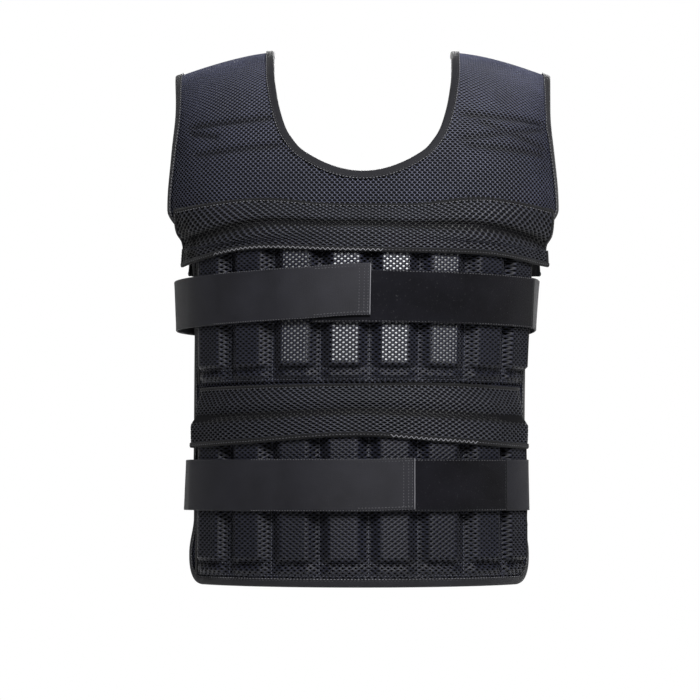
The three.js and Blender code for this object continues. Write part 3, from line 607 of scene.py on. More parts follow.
def net(piece, material, kind, low, high, inside, place, lift, on_flat=False, painted_fold_shade=None):
    """Open mesh of cells in a brick pattern: strands stand proud and each hole's rim lies deeper, with
    painted shade on it.
    Cells lie between two corners of a flat sheet, which place() puts on the body.
    Their lift depends on where they lie on the body, or on the flat sheet.
    Its last argument tells where the sheet is folded in, where it gets painted shade like the bottom of a
    hole."""
    half, third = kind["cell"] / 2, kind["row"] / 3
    across = np.arange(math.ceil(low[0] / kind["cell"]) - 1, math.floor(high[0] / kind["cell"]) + 2)
    rows = np.arange(math.ceil(low[1] / kind["row"]), math.floor(high[1] / kind["row"]) + 1)
    i, j = (v.ravel() for v in np.meshgrid(across, rows))
    k, m = 2 * i + (j & 1), 3 * j
    keep = inside(k * half, m * third)
    k, m = k[keep], m[keep]
    offsets = np.array([(0, 2), (1, 1), (1, -1), (0, -2), (-1, -1), (-1, 1)])
    corners = np.stack([k, m], -1)[:, None] + offsets
    keys, index = np.unique(corners.reshape(-1, 2), axis=0, return_inverse=True)
    index = index.reshape(-1, 6)
    size = np.array([half, third])
    rim = (np.stack([k, m], -1)[:, None] + offsets * kind["open"]) * size
    flat = np.concatenate([keys * size, rim.reshape(-1, 2)])
    s, h = place(flat[:, 0], flat[:, 1])
    deep = np.concatenate([np.zeros(len(keys)), np.full(rim.size // 2, kind["depth"])])
    spot = (flat[:, 0], flat[:, 1]) if on_flat else (s, h)
    points = lifted(s, h, lift(*spot) - deep)
    rims = len(keys) + np.arange(len(k) * 6).reshape(-1, 6)
    order = np.roll(np.arange(6), -1)
    faces = np.stack([index, rims, rims[:, order], index[:, order]], -1).reshape(-1, 4)
    # Painted shade: 1 at each hole's rim, 0 on the strands, plus painted shade in folds
    shade = deep / kind["depth"]
    if painted_fold_shade:
        shade = np.clip(shade + painted_fold_shade(*spot), 0, 1)
    piece.add(points, faces, material, flat, deep=shade)


def stitches(piece, material, line, out, kind):
    """Short raised threads in a row along a line of points with its outward directions."""
    length, gap, width, height = STITCHES[kind]
    along = walked(line)
    places = np.arange(gap, along[-1] - length, length + gap) + length / 2
    centre = np.stack([np.interp(places, along, line[:, c]) for c in range(3)], -1)
    ahead = np.stack([np.interp(places + 0.5, along, line[:, c]) for c in range(3)], -1)
    up = unit(np.stack([np.interp(places, along, out[:, c]) for c in range(3)], -1))
    run = unit(ahead - centre)
    side = np.cross(up, run)
    halves = (run * length / 2, side * width / 2, up * height)
    points = np.stack([centre + way * half for half in halves for way in (1, -1)], 1)
    shape = np.array([
        (0, 2, 4), (2, 1, 4), (1, 3, 4), (3, 0, 4),
        (2, 0, 5), (1, 2, 5), (3, 1, 5), (0, 3, 5),
    ])
    faces = (np.arange(len(places)) * 6)[:, None, None] + shape
    piece.add(points, faces.reshape(-1, 3), material, clamp=False)


def edge_path():
    """Panel's outer edge, from the left shoulder round the hem to the right shoulder."""
    h = np.concatenate([
        hem_corner(14),
        np.arange(-SKIRT + HEM_CORNER + 4, 0, 4),
        np.linspace(0, DOME_ARC, 60),
    ])
    right = np.stack([edge_walk(h), h], -1)
    hem = np.arange(-edge_walk(-SKIRT) + 3, edge_walk(-SKIRT) - 2, 4)
    left = right[::-1] * (-1, 1)
    return np.concatenate([left, np.stack([hem, np.full(len(hem), -SKIRT)], -1), right])


def neck_path(wider):
    """Panel's neck, from its left shoulder to its right."""
    split = float(neck_walk(NECK_TURN, wider))
    h, walk = neck_side(wider)
    sides = np.stack([walk, h], -1)
    floor = np.linspace(-split, split, 41)[1:-1]
    bottom = np.stack([floor, neck_floor(floor, split)], -1)
    path = np.concatenate([sides[::-1] * (-1, 1), bottom, sides])
    for _ in range(3):
        path[1:-1] = (path[:-2] + 2 * path[1:-1] + path[2:]) / 4
    return path


def beside(path, side, reach):
    """Walks and heights of a path moved sideways off itself, out of the cloth."""
    across, up = (np.linalg.norm(slope, axis=1) for slope in slopes(*path.T))
    run = unit(np.gradient(path, axis=0) * np.stack([across, up], -1))
    reach = np.broadcast_to(reach, len(path))
    s = path[:, 0] + side * reach * run[:, 1] / across
    h = path[:, 1] - side * reach * run[:, 0] / up
    return s, np.minimum(h, DOME_ARC)


def binding(name, node, path, side, back):
    """Tape folded over an edge, with stitches through both legs and along its rim."""
    piece = Piece(name, back)
    along = walked(surface(*path.T))
    around = walked(np.array(TAPE_SECTION))
    rows, flats = [], []
    for (reach, lift), turn in zip(TAPE_SECTION, around):
        wave = TAPE_WAVE["height"] * np.sin(along / TAPE_WAVE["length"] + reach) * (reach < TAPE_WAVE["edge"])
        s, h = beside(path, side, reach + wave)
        rows.append(lifted(s, h, lift + panel_lift(s, h)))
        flats.append(np.stack([along, np.full(len(along), turn)], -1))
    sleeve(piece, TAPE_CLOTH, np.stack(rows, 1), np.stack(flats, 1),
           flip_walls=side < 0, flip_ends=True, clamp=True)
    for row in TAPE_SEAMS:
        s, h = beside(path, side, row["reach"])
        lift = TAPE_TOP + row["rise"] + panel_lift(s, h)
        stitches(piece, THREADS[row["thread"]], *seam(s, h, lift), row["kind"])
    made = piece.build("binding", node)


def panel_sheet(wider, split):
    """Walks, heights and faces of a panel: its body up to the neck, and then its two shoulders."""
    middle = np.linspace(-1, 1, 41)[1:-1]
    side = np.linspace(1, 0, 15)
    rows = []

    def walks(h):
        right = split + (float(edge_walk(h, FIT)) - split) * side
        return np.concatenate([-right, middle * split, right[::-1]])

    for height in np.concatenate([hem_corner(9)[:-1], np.linspace(-SKIRT + HEM_CORNER, 0, 40)]):
        walk = walks(height)
        rows.append((walk, np.full(len(walk), height)))
    for share in np.linspace(0, 1, 10)[1:]:
        walk = walks(NECK_TURN * share)
        top = np.where(abs(walk) < split, neck_floor(walk, split), NECK_TURN)
        rows.append((walk, top * share))
    s, h = (np.concatenate(part) for part in zip(*rows))
    columns = len(rows[0][0])
    faces = [grid(len(rows), columns)]
    top_row = len(s) - columns + np.arange(len(side))
    heights, necks = neck_side(wider)
    edges = edge_walk(heights, FIT)
    for sign in (-1, 1):
        place = necks[:, None] + (edges - necks)[:, None] * (side if sign < 0 else side[::-1])
        shoulder = (sign * place)[1:]
        first = top_row + (columns - len(side)) * (sign > 0)
        faces.append(quads(np.vstack([first, len(s) + np.arange(shoulder.size).reshape(shoulder.shape)])))
        s = np.concatenate([s, shoulder.ravel()])
        h = np.concatenate([h, np.repeat(heights[1:], shoulder.shape[1])])
    return s, h, np.concatenate(faces)


def panel(side, wider, back):
    """Panel's body with its lining, and the mesh that shows above and between the pockets."""
    split = float(neck_walk(NECK_TURN, wider))
    piece = Piece(f"{side}_panel_cloth", back)
    s, h, faces = panel_sheet(wider, split)
    sunk = CHEST_MESH["depth"] + SKIN_GAP + CREASE_UNDER * shoulder_crease(s, h)
    # The skin just under the mesh is a real backing layer, painted nearly black as painted shade in its holes
    skin = lifted(s, h, np.maximum(panel_lift(s, h) - sunk, 1 - PANEL))
    thick(piece, skin, lifted(s, h, -PANEL), faces, BACKING_WITH_PAINTED_SHADE, LINING, np.stack([s, h], -1))

    def place(u, v):
        return walk_of(u, v), np.minimum(v, DOME_ARC)

    def inside(u, v):
        walk = abs(walk_of(u, v))
        above = np.where(walk < split, neck_floor(walk, split) - NET_MARGIN, DOME_ARC)
        clear_neck = (v < NECK_TURN) | (walk > neck_walk(np.maximum(v, NECK_TURN), wider) + NET_MARGIN)
        drop = DOME_DROP - v
        bare = (v > BARE["above"]) | (walk > POCKET_END - BARE["beside"])
        bare |= abs(drop - hem_drop(UPPER_ROW) - BARE["between"]) < BARE["gap"]
        bare |= drop > hem_drop(LOWER_ROW) - BARE["below"]
        return bare & (v < above) & (v < DOME_ARC) & clear_neck & (walk < edge_walk(v) - NET_MARGIN)

    # The shoulder creases get painted shade in the mesh
    net(piece, MESH_NAVY, CHEST_MESH, (10 - ARC_MAX, 4 - SKIRT), (ARC_MAX - 10, DOME_ARC), inside, place,
        panel_lift, painted_fold_shade=lambda s, h: CREASE_SHADE * shoulder_crease(s, h))
    made = piece.build("mesh_navy", f"{side}_panel")


def hem_drop(row):
    return row["plate_drop"] + PLATE_LENGTH + row["band"]


def pocket_seams():
    drops = np.linspace(UPPER_ROW["plate_drop"], LOWER_ROW["plate_drop"] + PLATE_LENGTH, 12)
    end = float(edge_walk(height_of(drops), TAPE_LEG + 3 * FIT).min())
    inner = np.linspace(LEFT_POCKET - end, end - RIGHT_POCKET, POCKETS - 1)
    return np.concatenate([[-end], inner, [end]])


def plate_middles():
    middles = (SEAMS[1:] + SEAMS[:-1]) / 2
    middles[0] = SEAMS[1] - (SEAMS[2] - SEAMS[1]) / 2
    return middles


SEAMS = pocket_seams()
PLATE_WALKS = plate_middles()
POCKET_END = float(SEAMS[-1])
PLATE_REACH = float(PLATE_WALKS[-1]) + PLATE_WIDTH / 2


def plate_frame(s, top_drop):
    """Middle and outward direction of a bar that lies flat on the cloth."""
    h = height_of(top_drop + PLATE_LENGTH * np.linspace(1, 0, 5))
    bottom, top = surface(s, h[0]), surface(s, h[-1])
    normal = normals(s, (h[0] + h[-1]) / 2)
    up = unit(top - bottom)
    out = np.cross(unit(np.cross(up, normal)), up)
    middle = (top + bottom) / 2
    walks = s + PLATE_WIDTH * np.array([-0.5, 0, 0.5])
    bulge = max(float((surface(walk, height) - middle) @ out) for walk in walks for height in h)
    return middle + out * (bulge + 2 * FIT + PLATE_THICKNESS / 2), out


def lift_over(middle, out, s, h):
    face = (middle - surface(s, h)) @ out + PLATE_THICKNESS / 2 + FIT
    return face / (normals(s, h) @ out)


def pocket_fill(row, drop):
    """How full a pocket is down its length, from 0 where it is sewn to 1 over the bar."""
    top, band = row["plate_drop"], row["band"]
    bottom = top + PLATE_LENGTH
    places = [
        top - POCKET_MOUTH, top - POCKET_FOLD, bottom + POCKET_FOLD,
        bottom + BAND_SEAM * band, bottom + BAND_PUFF * band, bottom + band,
    ]
    return smooth(places, POCKET_FILL, drop)


def pocket_lift(row, s, h):
    """Outer face of a pocket's sheet off the panel."""
    drop = DOME_DROP - h
    i = np.clip(np.searchsorted(SEAMS, s) - 1, 0, POCKETS - 1)
    left, right = PLATE_WALKS - PLATE_WIDTH / 2, PLATE_WALKS + PLATE_WIDTH / 2
    on_plate = np.clip(s, left[i], right[i])
    over = np.zeros(np.shape(s))
    for k, walk in enumerate(PLATE_WALKS):
        here = i == k
        if here.any():
            middle, out = plate_frame(walk, row["plate_drop"])
            over[here] = lift_over(middle, out, on_plate[here], h[here])
    room = np.where(s < PLATE_WALKS[i], left[i] - SEAMS[i], SEAMS[i + 1] - right[i])
    away = np.clip(abs(s - on_plate) / np.maximum(room, 1), 0, 1)
    share = np.clip(1 - PUFF["height"] * eased(away ** PUFF["power"]), 0, 1)
    below = (drop - row["plate_drop"] - PLATE_LENGTH - TUFTS["below"]) / TUFTS["spread"]
    tuft = TUFTS["height"] * np.sin(s / TUFTS["length"]) * np.exp(-below ** 2)
    return SEAM_LIFT + share * pocket_fill(row, drop) * (over - SEAM_LIFT) + POCKET_SHEET + tuft * share


def crest_of(row):
    """Highest lift of a pocket row over its bars."""
    s = np.linspace(-POCKET_END, POCKET_END, 369)
    drops = row["plate_drop"] + np.linspace(0, PLATE_LENGTH, 9)
    s, drop = (v.ravel() for v in np.meshgrid(s, drops))
    return float(pocket_lift(row, s, height_of(drop)).max())


CRESTS = {row["name"]: crest_of(row) for row in (UPPER_ROW, LOWER_ROW)}


def pocket_row(side, row, back):
    """Mesh sheet sewn into pockets, with its seams stitched."""
    piece = Piece(f"{side}_{row['name']}_pocket_mesh", back)
    top = row["plate_drop"] - POCKET_MOUTH
    bottom = hem_drop(row)

    def limit(h):
        return np.minimum(edge_walk(h) - TAPE_LEG - 1, POCKET_END)

    def place(u, v):
        h = np.clip(v, height_of(bottom), height_of(top))
        reach = limit(h)
        return np.clip(u, -reach, reach), h

    def inside(u, v):
        return (abs(u) < limit(v)) & (v > height_of(bottom)) & (v < height_of(top))

    def line(s, h, rise=0.0):
        return seam(s, h, pocket_lift(row, s, h) + rise)

    low = (-POCKET_END, float(height_of(bottom)))
    high = (POCKET_END, float(height_of(top)))
    net(piece, MESH_POCKET, POCKET_MESH, low, high, inside, place, lambda s, h: pocket_lift(row, s, h))
    h = height_of(np.linspace(top + 4, bottom - 1, 70))
    for walk in SEAMS[1:-1]:
        stitches(piece, THREADS["navy"], *line(np.full(len(h), walk), h, POCKET_SEAM_RISE), "pocket")
    end = float(limit(height_of(bottom))) - 1
    walk = np.linspace(-end, end, 260)
    band_seam = row["plate_drop"] + PLATE_LENGTH + BAND_SEAM * row["band"]
    for drop, rise in ((bottom - POCKET_HEM["back"], POCKET_HEM["rise"]), (band_seam, POCKET_SEAM_RISE)):
        stitches(piece, THREADS["navy"], *line(walk, np.full(len(walk), height_of(drop)), rise), "hem")
    h = height_of(np.linspace(top + 1, bottom - 0.5, 60))
    for sign in (-1, 1):
        rows = [line(sign * (limit(h) - inset), h, rise)[0] for inset, rise in zip(*POCKET_SIDE.values())]
        faces = grid(len(rows), len(h))
        flat = np.stack([np.stack([h, np.full(len(h), 2.0 * k)], -1) for k in range(len(rows))])
        piece.add(np.stack(rows), faces if sign < 0 else faces[:, ::-1], HEM_CLOTH, flat)
    made = piece.build("mesh_navy", f"{side}_{row['name']}_pockets")
    walk = np.linspace(-POCKET_END, POCKET_END, 400)
    h = np.full(len(walk), height_of(row["plate_drop"] + PLATE_LENGTH / 2))
    width = walked(line(walk, h)[0])[-1]


def flap_place(size, place, share):
    """Walk and height of a place on a flap, from its left end (-1) to its right, and down from its seam."""
    height = size["height"]
    rise = smooth(size["place"], size["seam"], place) * height
    edge = smooth(size["place"], size["edge"], place) * height
    wider = np.clip((share - FLAP_NECK["start"]) / FLAP_NECK["length"], 0, 1)
    half = size["half_top"] + (size["half"] - size["half_top"]) * wider
    return place * half, height_of(size["drop"] - rise + share * (height + rise - edge))


def flap_fold(size, place, share):
    """How far a flap is sewn or pressed in at places, from 0 to 1 on its quilting line."""
    quilted = np.exp(-((share - size["groove"]) / FLAP_GROOVE["width"]) ** 2)
    pressed = crease(size["creases"], place * size["half"], -share * size["height"])
    return np.maximum(quilted, pressed / FLAP_GROOVE["depth"])


def ends_straight(column, share, past):
    """A column of the flap's profile, which turns into a straight slope towards the flap's ends."""
    shares, values = FLAP_PROFILE["share"], FLAP_PROFILE[column]
    first, last = FLAP_END_STOPS
    curved = smooth(shares, values, share)
    upper, lower = (float(smooth(shares, values, stop)) for stop in FLAP_END_STOPS)
    slope = upper + (lower - upper) * (share - first) / (last - first)
    straight = np.where(share < first, curved, np.minimum(slope, max(upper, lower)))
    return curved + (straight - curved) * past


def flap_lift(size, place, share, inner=False):
    """Outer or inner face of a flap off the panel; past the last bars its ends lie closer."""
    full = (PLATE_REACH + FIT) / size["half"]
    past = np.clip((abs(place) - full) / (1 - full), 0, 1)
    left, right = size["end_lift"]
    fall = 1 - (1 - np.where(place < 0, left, right)) * past
    low = ends_straight("inner", share, past) * CRESTS[size["row"]] * fall
    if inner:
        return low
    wave = ripple(place * size["half"], -share * size["height"], UNEVEN)
    wave = wave * np.sin(math.pi * np.clip(share, 0, 1))
    thin = 1 - size["thin_sides"] * np.clip((abs(place) - FLAP_THIN["start"]) / FLAP_THIN["length"], 0, 1)
    padding = ends_straight("padding", share, past) * FLAP_PADDING * fall * thin
    sewn_in = FLAP_GROOVE["depth"] * flap_fold(size, place, share)
    return low + padding + wave - sewn_in * (1 - (1 - FLAP_GROOVE["left_past"]) * past)


def flap_line(size, place, share, rise):
    place, share = np.broadcast_arrays(np.asarray(place, float), np.asarray(share, float))
    return seam(*flap_place(size, place, share), flap_lift(size, place, share) + rise)


def hem_band(piece, size, inner, outer, places=None, shares=None):
    """Folded hem along or down a flap: it runs from an inner line to the edge, and turns under there."""
    rows, flats = [], []
    for across, rise in zip(*HEM_BAND.values()):
        reach = inner + (outer - inner) * across
        place = np.full(len(shares), reach) if places is None else places
        share = np.full(len(places), reach) if shares is None else shares
        rows.append(flap_line(size, place, share, rise)[0])
        flats.append(np.stack([place * size["half"], share * size["height"]], -1))
    faces = grid(len(rows), len(rows[0]))
    if (outer > inner) == (shares is None):
        faces = faces[:, ::-1]
    piece.add(np.stack(rows), faces, HEM_CLOTH, np.stack(flats))


def flap_body(piece, size):
    """Padding of a flap between its lining and its backing, and the mesh on its face."""
    shares, places = np.linspace(1, 0, 26), np.linspace(-1, 1, 161)
    share, place = (v.ravel() for v in np.meshgrid(shares, places, indexing="ij"))
    s, h = flap_place(size, place, share)
    flat = np.stack([place * size["half"], -share * size["height"]], -1)
    under = flap_lift(size, place, share, inner=True)
    # The skin just under the flap's mesh is a real backing layer, painted nearly black as painted shade in
    # its holes
    skin = flap_lift(size, place, share) - FLAP_MESH["depth"] - FLAP_SKIN["sunk"]
    outer = lifted(s, h, np.maximum(skin, under + FLAP_SKIN["least"]))
    thick(piece, outer, lifted(s, h, under), grid(len(shares), len(places)), BACKING_WITH_PAINTED_SHADE, LINING, flat)
    kind = {**FLAP_MESH, "row": size["height"] / round(size["height"] / FLAP_MESH["row"])}

    def parts(u, v):
        return np.clip(u / size["half"], -1, 1), np.clip(-v / size["height"], 0, 1)

    def inside(u, v):
        return (abs(u) < size["half"] - 1) & (v < -0.5) & (v > 1 - size["height"])

    # The quilting groove and the pressed creases get painted shade in the mesh
    net(piece, MESH_BLACK, kind, (-size["half"], -size["height"]), (size["half"], 0), inside,
        lambda u, v: flap_place(size, *parts(u, v)), lambda u, v: flap_lift(size, *parts(u, v)),
        on_flat=True, painted_fold_shade=lambda u, v: FLAP_GROOVE["shade"] * flap_fold(size, *parts(u, v)))


def flap(side, size, back):
    """Padded flap: body, mesh face, hemmed edges, and the threads along them."""
    piece = Piece(f"{side}_{size['name']}_flap_cloth", back)
    flap_body(piece, size)
    deep, wide = FLAP_HEM / size["height"], FLAP_HEM / size["half"]
    along, down = np.linspace(-1, 1, 500), np.linspace(0, 1, 40)
    for inner, outer in ((1 - deep, 1), (FLAP_TOP_HEM, 0)):
        hem_band(piece, size, inner, outer, places=along)
    for inner, outer in ((1 - wide, 1), (wide - 1, -1)):
        hem_band(piece, size, inner, outer, shares=down)
    seams = FLAP_THREADS
    along = np.linspace(-0.99, 0.99, 900)
    top = flap_line(size, along, seams["top"], seams["top_rise"])
    stitches(piece, THREADS[size["thread"]], *top, "flap_seam")
    quilting = flap_line(size, along, size["groove"], seams["quilt_rise"])
    stitches(piece, THREADS["dark"], *quilting, "quilting")
    start, end = size["light"]
    light = (along > start) & (along < end)
    bend = ZIGZAG["share"] + ZIGZAG["swing"] * np.sin(along * size["half"] * 2 * math.pi / ZIGZAG["length"])
    line, out = flap_line(size, along, 1 - deep * bend, ZIGZAG["rise"])
    tube(piece, THREADS["light"], line[light], out[light], ZIGZAG["radius"])
    line, out = flap_line(size, along, 1 - deep * seams["hem"], ZIGZAG["rise"])
    for keep in (along <= start, along >= end):
        stitches(piece, THREADS["grey"], line[keep], out[keep], "hem")
    down = np.linspace(FLAP_TOP_HEM, 0.97, 60)
    for sign in (-1, 1):
        line, out = flap_line(size, sign * (1 - wide * seams["end"]), down, seams["end_rise"])
        stitches(piece, THREADS["grey"], line, out, "flap_end")
    made = piece.build("mesh_black", f"{side}_{size['name']}_flap")


def strap_stops(size):
    """Walk of each stop along a strap, its share of the way round the back and its side."""
    girth = float(half_girth(-SKIRT / 2))
    back = np.arange(1, math.ceil((girth - STRAP_REACH) / STRAP_STEP) + 1)
    back = back / back[-1]
    first = np.arange(size["under_end"], STRAP_REACH, STRAP_STEP)
    last = np.append(np.arange(-STRAP_REACH, size["upper_end"], STRAP_STEP), size["upper_end"])
    right, left = np.full(len(back), STRAP_REACH), np.full(len(back) - 1, -STRAP_REACH)
    walk = np.concatenate([first, right, left, last])
    share = np.concatenate([np.zeros(len(first)), back, back[-2::-1], np.zeros(len(last))])
    side = np.concatenate([np.ones(len(first) + len(back)), -np.ones(len(left) + len(last))])
    return walk, share, side


def front_stops(start, end, side):
    walk = np.append(np.arange(start, end, STRAP_STEP), end)
    return walk, np.zeros(len(walk)), np.full(len(walk), side)


def strap_place(size, walk, share, side, across):
    """Walk and height of places on a strap; across runs from -0.5 at its lower edge to 0.5."""
    rise = np.where(side < 0, smooth(size["reach"], size["rise"], walk / STRAP_REACH), 0)
    h = height_of(size["drop"] - (rise + across) * size["width"])
    return walk + side * share * (half_girth(h) - STRAP_REACH), h


def strap_layers(size):
    """Lifts of the strap over the bars, its loop patch, its hook patch and its upper end."""
    base = CRESTS[size["name"]] + STRAP_ROOM
    loop = base + STRAP + FIT
    hook = loop + PATCH + FIT
    return base, loop, hook, hook + PATCH + FIT


def drawn_in(size, s, h):
    """How far a strap is drawn in off its lift over the bars, where it runs free between the panels."""
    girth = half_girth(h)
    away = np.clip(abs(abs(s) - girth / 2) / (girth / 2 - STRAP_HOLD), 0, 1)
    least = np.where(s > 0, size["right_lift"], size["left_lift"])
    return (strap_layers(size)[0] - least) * (1 - away ** 2)


def strap_lift(size, walk, side):
    """Lift along a strap: its left part climbs over its own lower end and the patches."""
    base, _, _, top = strap_layers(size)
    climb_end = math.floor((size["under_end"] - 1) / STRAP_COLUMN) * STRAP_COLUMN
    climb_start = climb_end - 2 * STRAP_COLUMN
    t = np.clip((walk - climb_start) / (climb_end - climb_start), 0, 1)
    return np.where(side > 0, base, base + (top - base) * eased(t))


def band(piece, size, stops, lift, thickness, material):
    """Woven band swept along stops, with soft edges, and the length it is cut to."""
    walk, share, side = stops
    along = walked(surface(*strap_place(size, walk, share, side, 0)))
    rows, flats = [], []
    for across, rise in zip(*STRAP_SECTION.values()):
        s, h = strap_place(size, walk, share, side, across)
        sway = ripple(walk + SWAY["round"] * side * share, SWAY["across"] * across, SWAY["height"])
        over = lift - drawn_in(size, s, h) + rise * thickness
        rows.append(lifted(s, h, over + sway * (rise > 0.5)))
        flats.append(np.stack([along, np.full(len(walk), across * STRAP_WIDTH)], -1))
    sleeve(piece, material, np.stack(rows, 1), np.stack(flats, 1))
    return along[-1]


def strap_line(size, stops, across, lift):
    return seam(*strap_place(size, *stops, across), lift)


def cross_line(size, walk, side, lift, inset=CROSS_INSET):
    across = np.linspace(-0.5 + inset, 0.5 - inset, CROSS_POINTS)
    stops = (np.full(CROSS_POINTS, walk), np.zeros(CROSS_POINTS), np.full(CROSS_POINTS, side))
    return strap_line(size, stops, across, lift)


def strap_set(size):
    """A strap round the body, its loop patch on its lower end and its hook patch under its upper end."""
    name, tip = size["name"], size["upper_end"]
    _, loop, hook, top = strap_layers(size)
    face = top + STRAP
    strap = Piece(f"{name}_webbing_strap")
    stops = strap_stops(size)
    length = band(strap, size, stops, strap_lift(size, stops[0], stops[2]), STRAP, WEBBING)
    for row in STRAP_SEAMS:
        over_end = front_stops(tip - row["back"], tip - 1, -1.0)
        for across in (-row["across"], row["across"]):
            stitches(strap, THREADS["grey"], *strap_line(size, over_end, across, face), row["kind"])
    for back in STRAP_END_SEAMS:
        stitches(strap, THREADS["grey"], *cross_line(size, tip - back, -1.0, face), "strap_end")
    bound = cross_line(size, tip - STRAP_TIP["back"], -1.0, face, STRAP_TIP["inset"])
    tube(strap, THREADS["light"], *bound, STRAP_TIP["radius"])
    made = strap.build("webbing", f"{name}_strap")

    patch = {**size, "width": STRAP_WIDTH - 2 * FIT}
    face = loop + PATCH
    loops = Piece(f"{name}_loop_face")
    stops = front_stops(size["loop_start"], size["loop_end"], 1.0)
    length = band(loops, patch, stops, loop, PATCH, LOOP_FACE)
    for across in (-PATCH_SEAMS["across"], PATCH_SEAMS["across"]):
        stitches(loops, THREADS["grey"], *strap_line(patch, stops, across, face), "patch")
    end = cross_line(patch, size["loop_end"] - PATCH_SEAMS["back"], 1.0, face)
    stitches(loops, THREADS["dark"], *end, "hem")
    made = loops.build("hook_and_loop", f"{name}_loop_patch")

    hooks = Piece(f"{name}_hook_face")
    start = math.floor(size["hook_start"] / STRAP_COLUMN) * STRAP_COLUMN
    length = band(hooks, patch, front_stops(start, tip, -1.0), hook, PATCH, LOOP_FACE)
    made = hooks.build("hook_and_loop", f"{name}_hook_patch")


class Look:
    """A procedural material, built up from its nodes."""

    def __init__(self, name):
        self.material = bpy.data.materials.new(name)
        self.material.use_nodes = True
        self.tree = self.material.node_tree

    def join(self, node, inputs, output="Result"):
        """Link a node's inputs to other nodes' outputs, or set them to values."""
        for key, value in inputs.items():
            if isinstance(value, bpy.types.NodeSocket):
                self.tree.links.new(value, node.inputs[key])
            else:
                node.inputs[key].default_value = value
        return node.outputs[output]

    def add(self, kind, inputs, output):
        return self.join(self.tree.nodes.new(kind), inputs, output)

    def noise(self, place, scale, detail, **more):
        inputs = {"Vector": place, "Scale": scale, "Detail": detail, **more}
        return self.add("ShaderNodeTexNoise", inputs, "Fac")

    def math(self, operation, *values):
        node = self.tree.nodes.new("ShaderNodeMath")
        node.operation = operation
        return self.join(node, dict(enumerate(values)), "Value")

    def ramp(self, value, start, end, low=0.0, high=1.0, kind="LINEAR"):
        node = self.tree.nodes.new("ShaderNodeMapRange")
        node.interpolation_type = kind
        inputs = {"Value": value, "From Min": start, "From Max": end, "To Min": low, "To Max": high}
        return self.join(node, inputs)

    def weave(self, place, pitch, axis):
        """Threads of a weave, one for every pitch along an axis."""
        node = self.tree.nodes.new("ShaderNodeTexWave")
        node.bands_direction = axis
        return self.join(node, {"Vector": place, "Scale": math.pi / 10 / (pitch * MM), **WEAVE_BEND}, "Fac")

    def mix(self, first, second, factor, blend="MIX"):
        node = self.tree.nodes.new("ShaderNodeMix")
        node.data_type = "RGBA"
        node.blend_type = blend
        return self.join(node, {"A": first, "B": second, "Factor": factor})

    def finish(self, inputs):
        self.join(self.tree.nodes["Principled BSDF"], inputs, "BSDF")
        return self.material


def toned(color, share):
    return (*[value * share for value in color], 1)


def cloth(name, color, roughness, sheen, grain, weave=None, bump=0.25, uneven=0.25, shine=0.12,
          deep=1.0, specks=0.0):
    """Fabric with uneven colour, a grain at its real scale and, where it is woven, its two threads.
    Deep is the share of its colour left as painted shade at the bottom of an open mesh and in its creases;
    specks is how light its fluff is."""
    look = Look(name)
    body = look.add("ShaderNodeTexCoord", {}, "Object")
    fine = look.noise(body, grain, 4.0, Roughness=0.7)
    cloudy = look.math("MULTIPLY_ADD", fine, GRAIN_SHARE, look.noise(body, CLOUDS, 3.0))
    paint = look.mix(toned(color, 1 - uneven), toned(color, 1 + uneven), look.ramp(cloudy, *CLOUD_LEVELS))
    height = fine
    if weave:
        place = look.add("ShaderNodeTexCoord", {}, "UV")
        both = look.math("MULTIPLY", *[look.weave(place, pitch, axis) for axis, pitch in zip("XY", weave)])
        height = look.math("MULTIPLY_ADD", fine, WEAVE_GRAIN, both)
        paint = look.mix(paint, look.ramp(both, 0, 1, *WEAVE_LEVELS), WEAVE_SHADE, "MULTIPLY")
    if specks:
        fluff = look.ramp(look.noise(body, FLUFF, 2.0), *FLUFF_LEVELS)
        paint = look.mix(paint, (specks, specks, specks * 1.1, 1), fluff)
    # Painted shade: the deep attribute darkens hole rims and creases to a share of the colour
    if deep < 1:
        depth = look.tree.nodes.new("ShaderNodeAttribute")
        depth.attribute_name = "deep"
        fall = look.ramp(depth.outputs["Fac"], 0, PAINTED_SHADE_END, 1.0, deep, "SMOOTHSTEP")
        paint = look.mix(paint, fall, 1.0, "MULTIPLY")
    inputs = {"Height": height, "Strength": bump, "Distance": CLOTH_RELIEF}
    return look.finish({
        "Base Color": paint, "Normal": look.add("ShaderNodeBump", inputs, "Normal"),
        "Roughness": roughness, "Specular IOR Level": shine, "Sheen Weight": sheen, "Sheen Roughness": 0.5,
    })


def steel(name, color, roughness, grime, metal, shine=0.25):
    """Rolled bar: zinc grey with faint cloudiness and lengthwise brushing."""
    look = Look(name)
    body = look.add("ShaderNodeTexCoord", {}, "Object")
    stretched = look.add("ShaderNodeMapping", {"Vector": body, "Scale": BRUSHING}, "Vector")
    inputs = {"Height": look.noise(stretched, 1.0, 3.0), "Strength": 0.15, "Distance": STEEL_RELIEF}
    paint = look.mix(toned(color, 1 - grime), toned(color, 1), look.noise(body, STEEL_CLOUDS, 3.0))
    return look.finish({
        "Base Color": paint, "Normal": look.add("ShaderNodeBump", inputs, "Normal"),
        "Roughness": roughness, "Specular IOR Level": shine, "Metallic": metal,
    })


def plain(name, color, roughness):
    return Look(name).finish({"Base Color": (*color, 1), "Roughness": roughness})


def glowing(name, color):
    return Look(name).finish({
        "Base Color": (0, 0, 0, 1), "Specular IOR Level": 0,
        "Emission Color": (*color, 1), "Emission Strength": 1.0,
    })


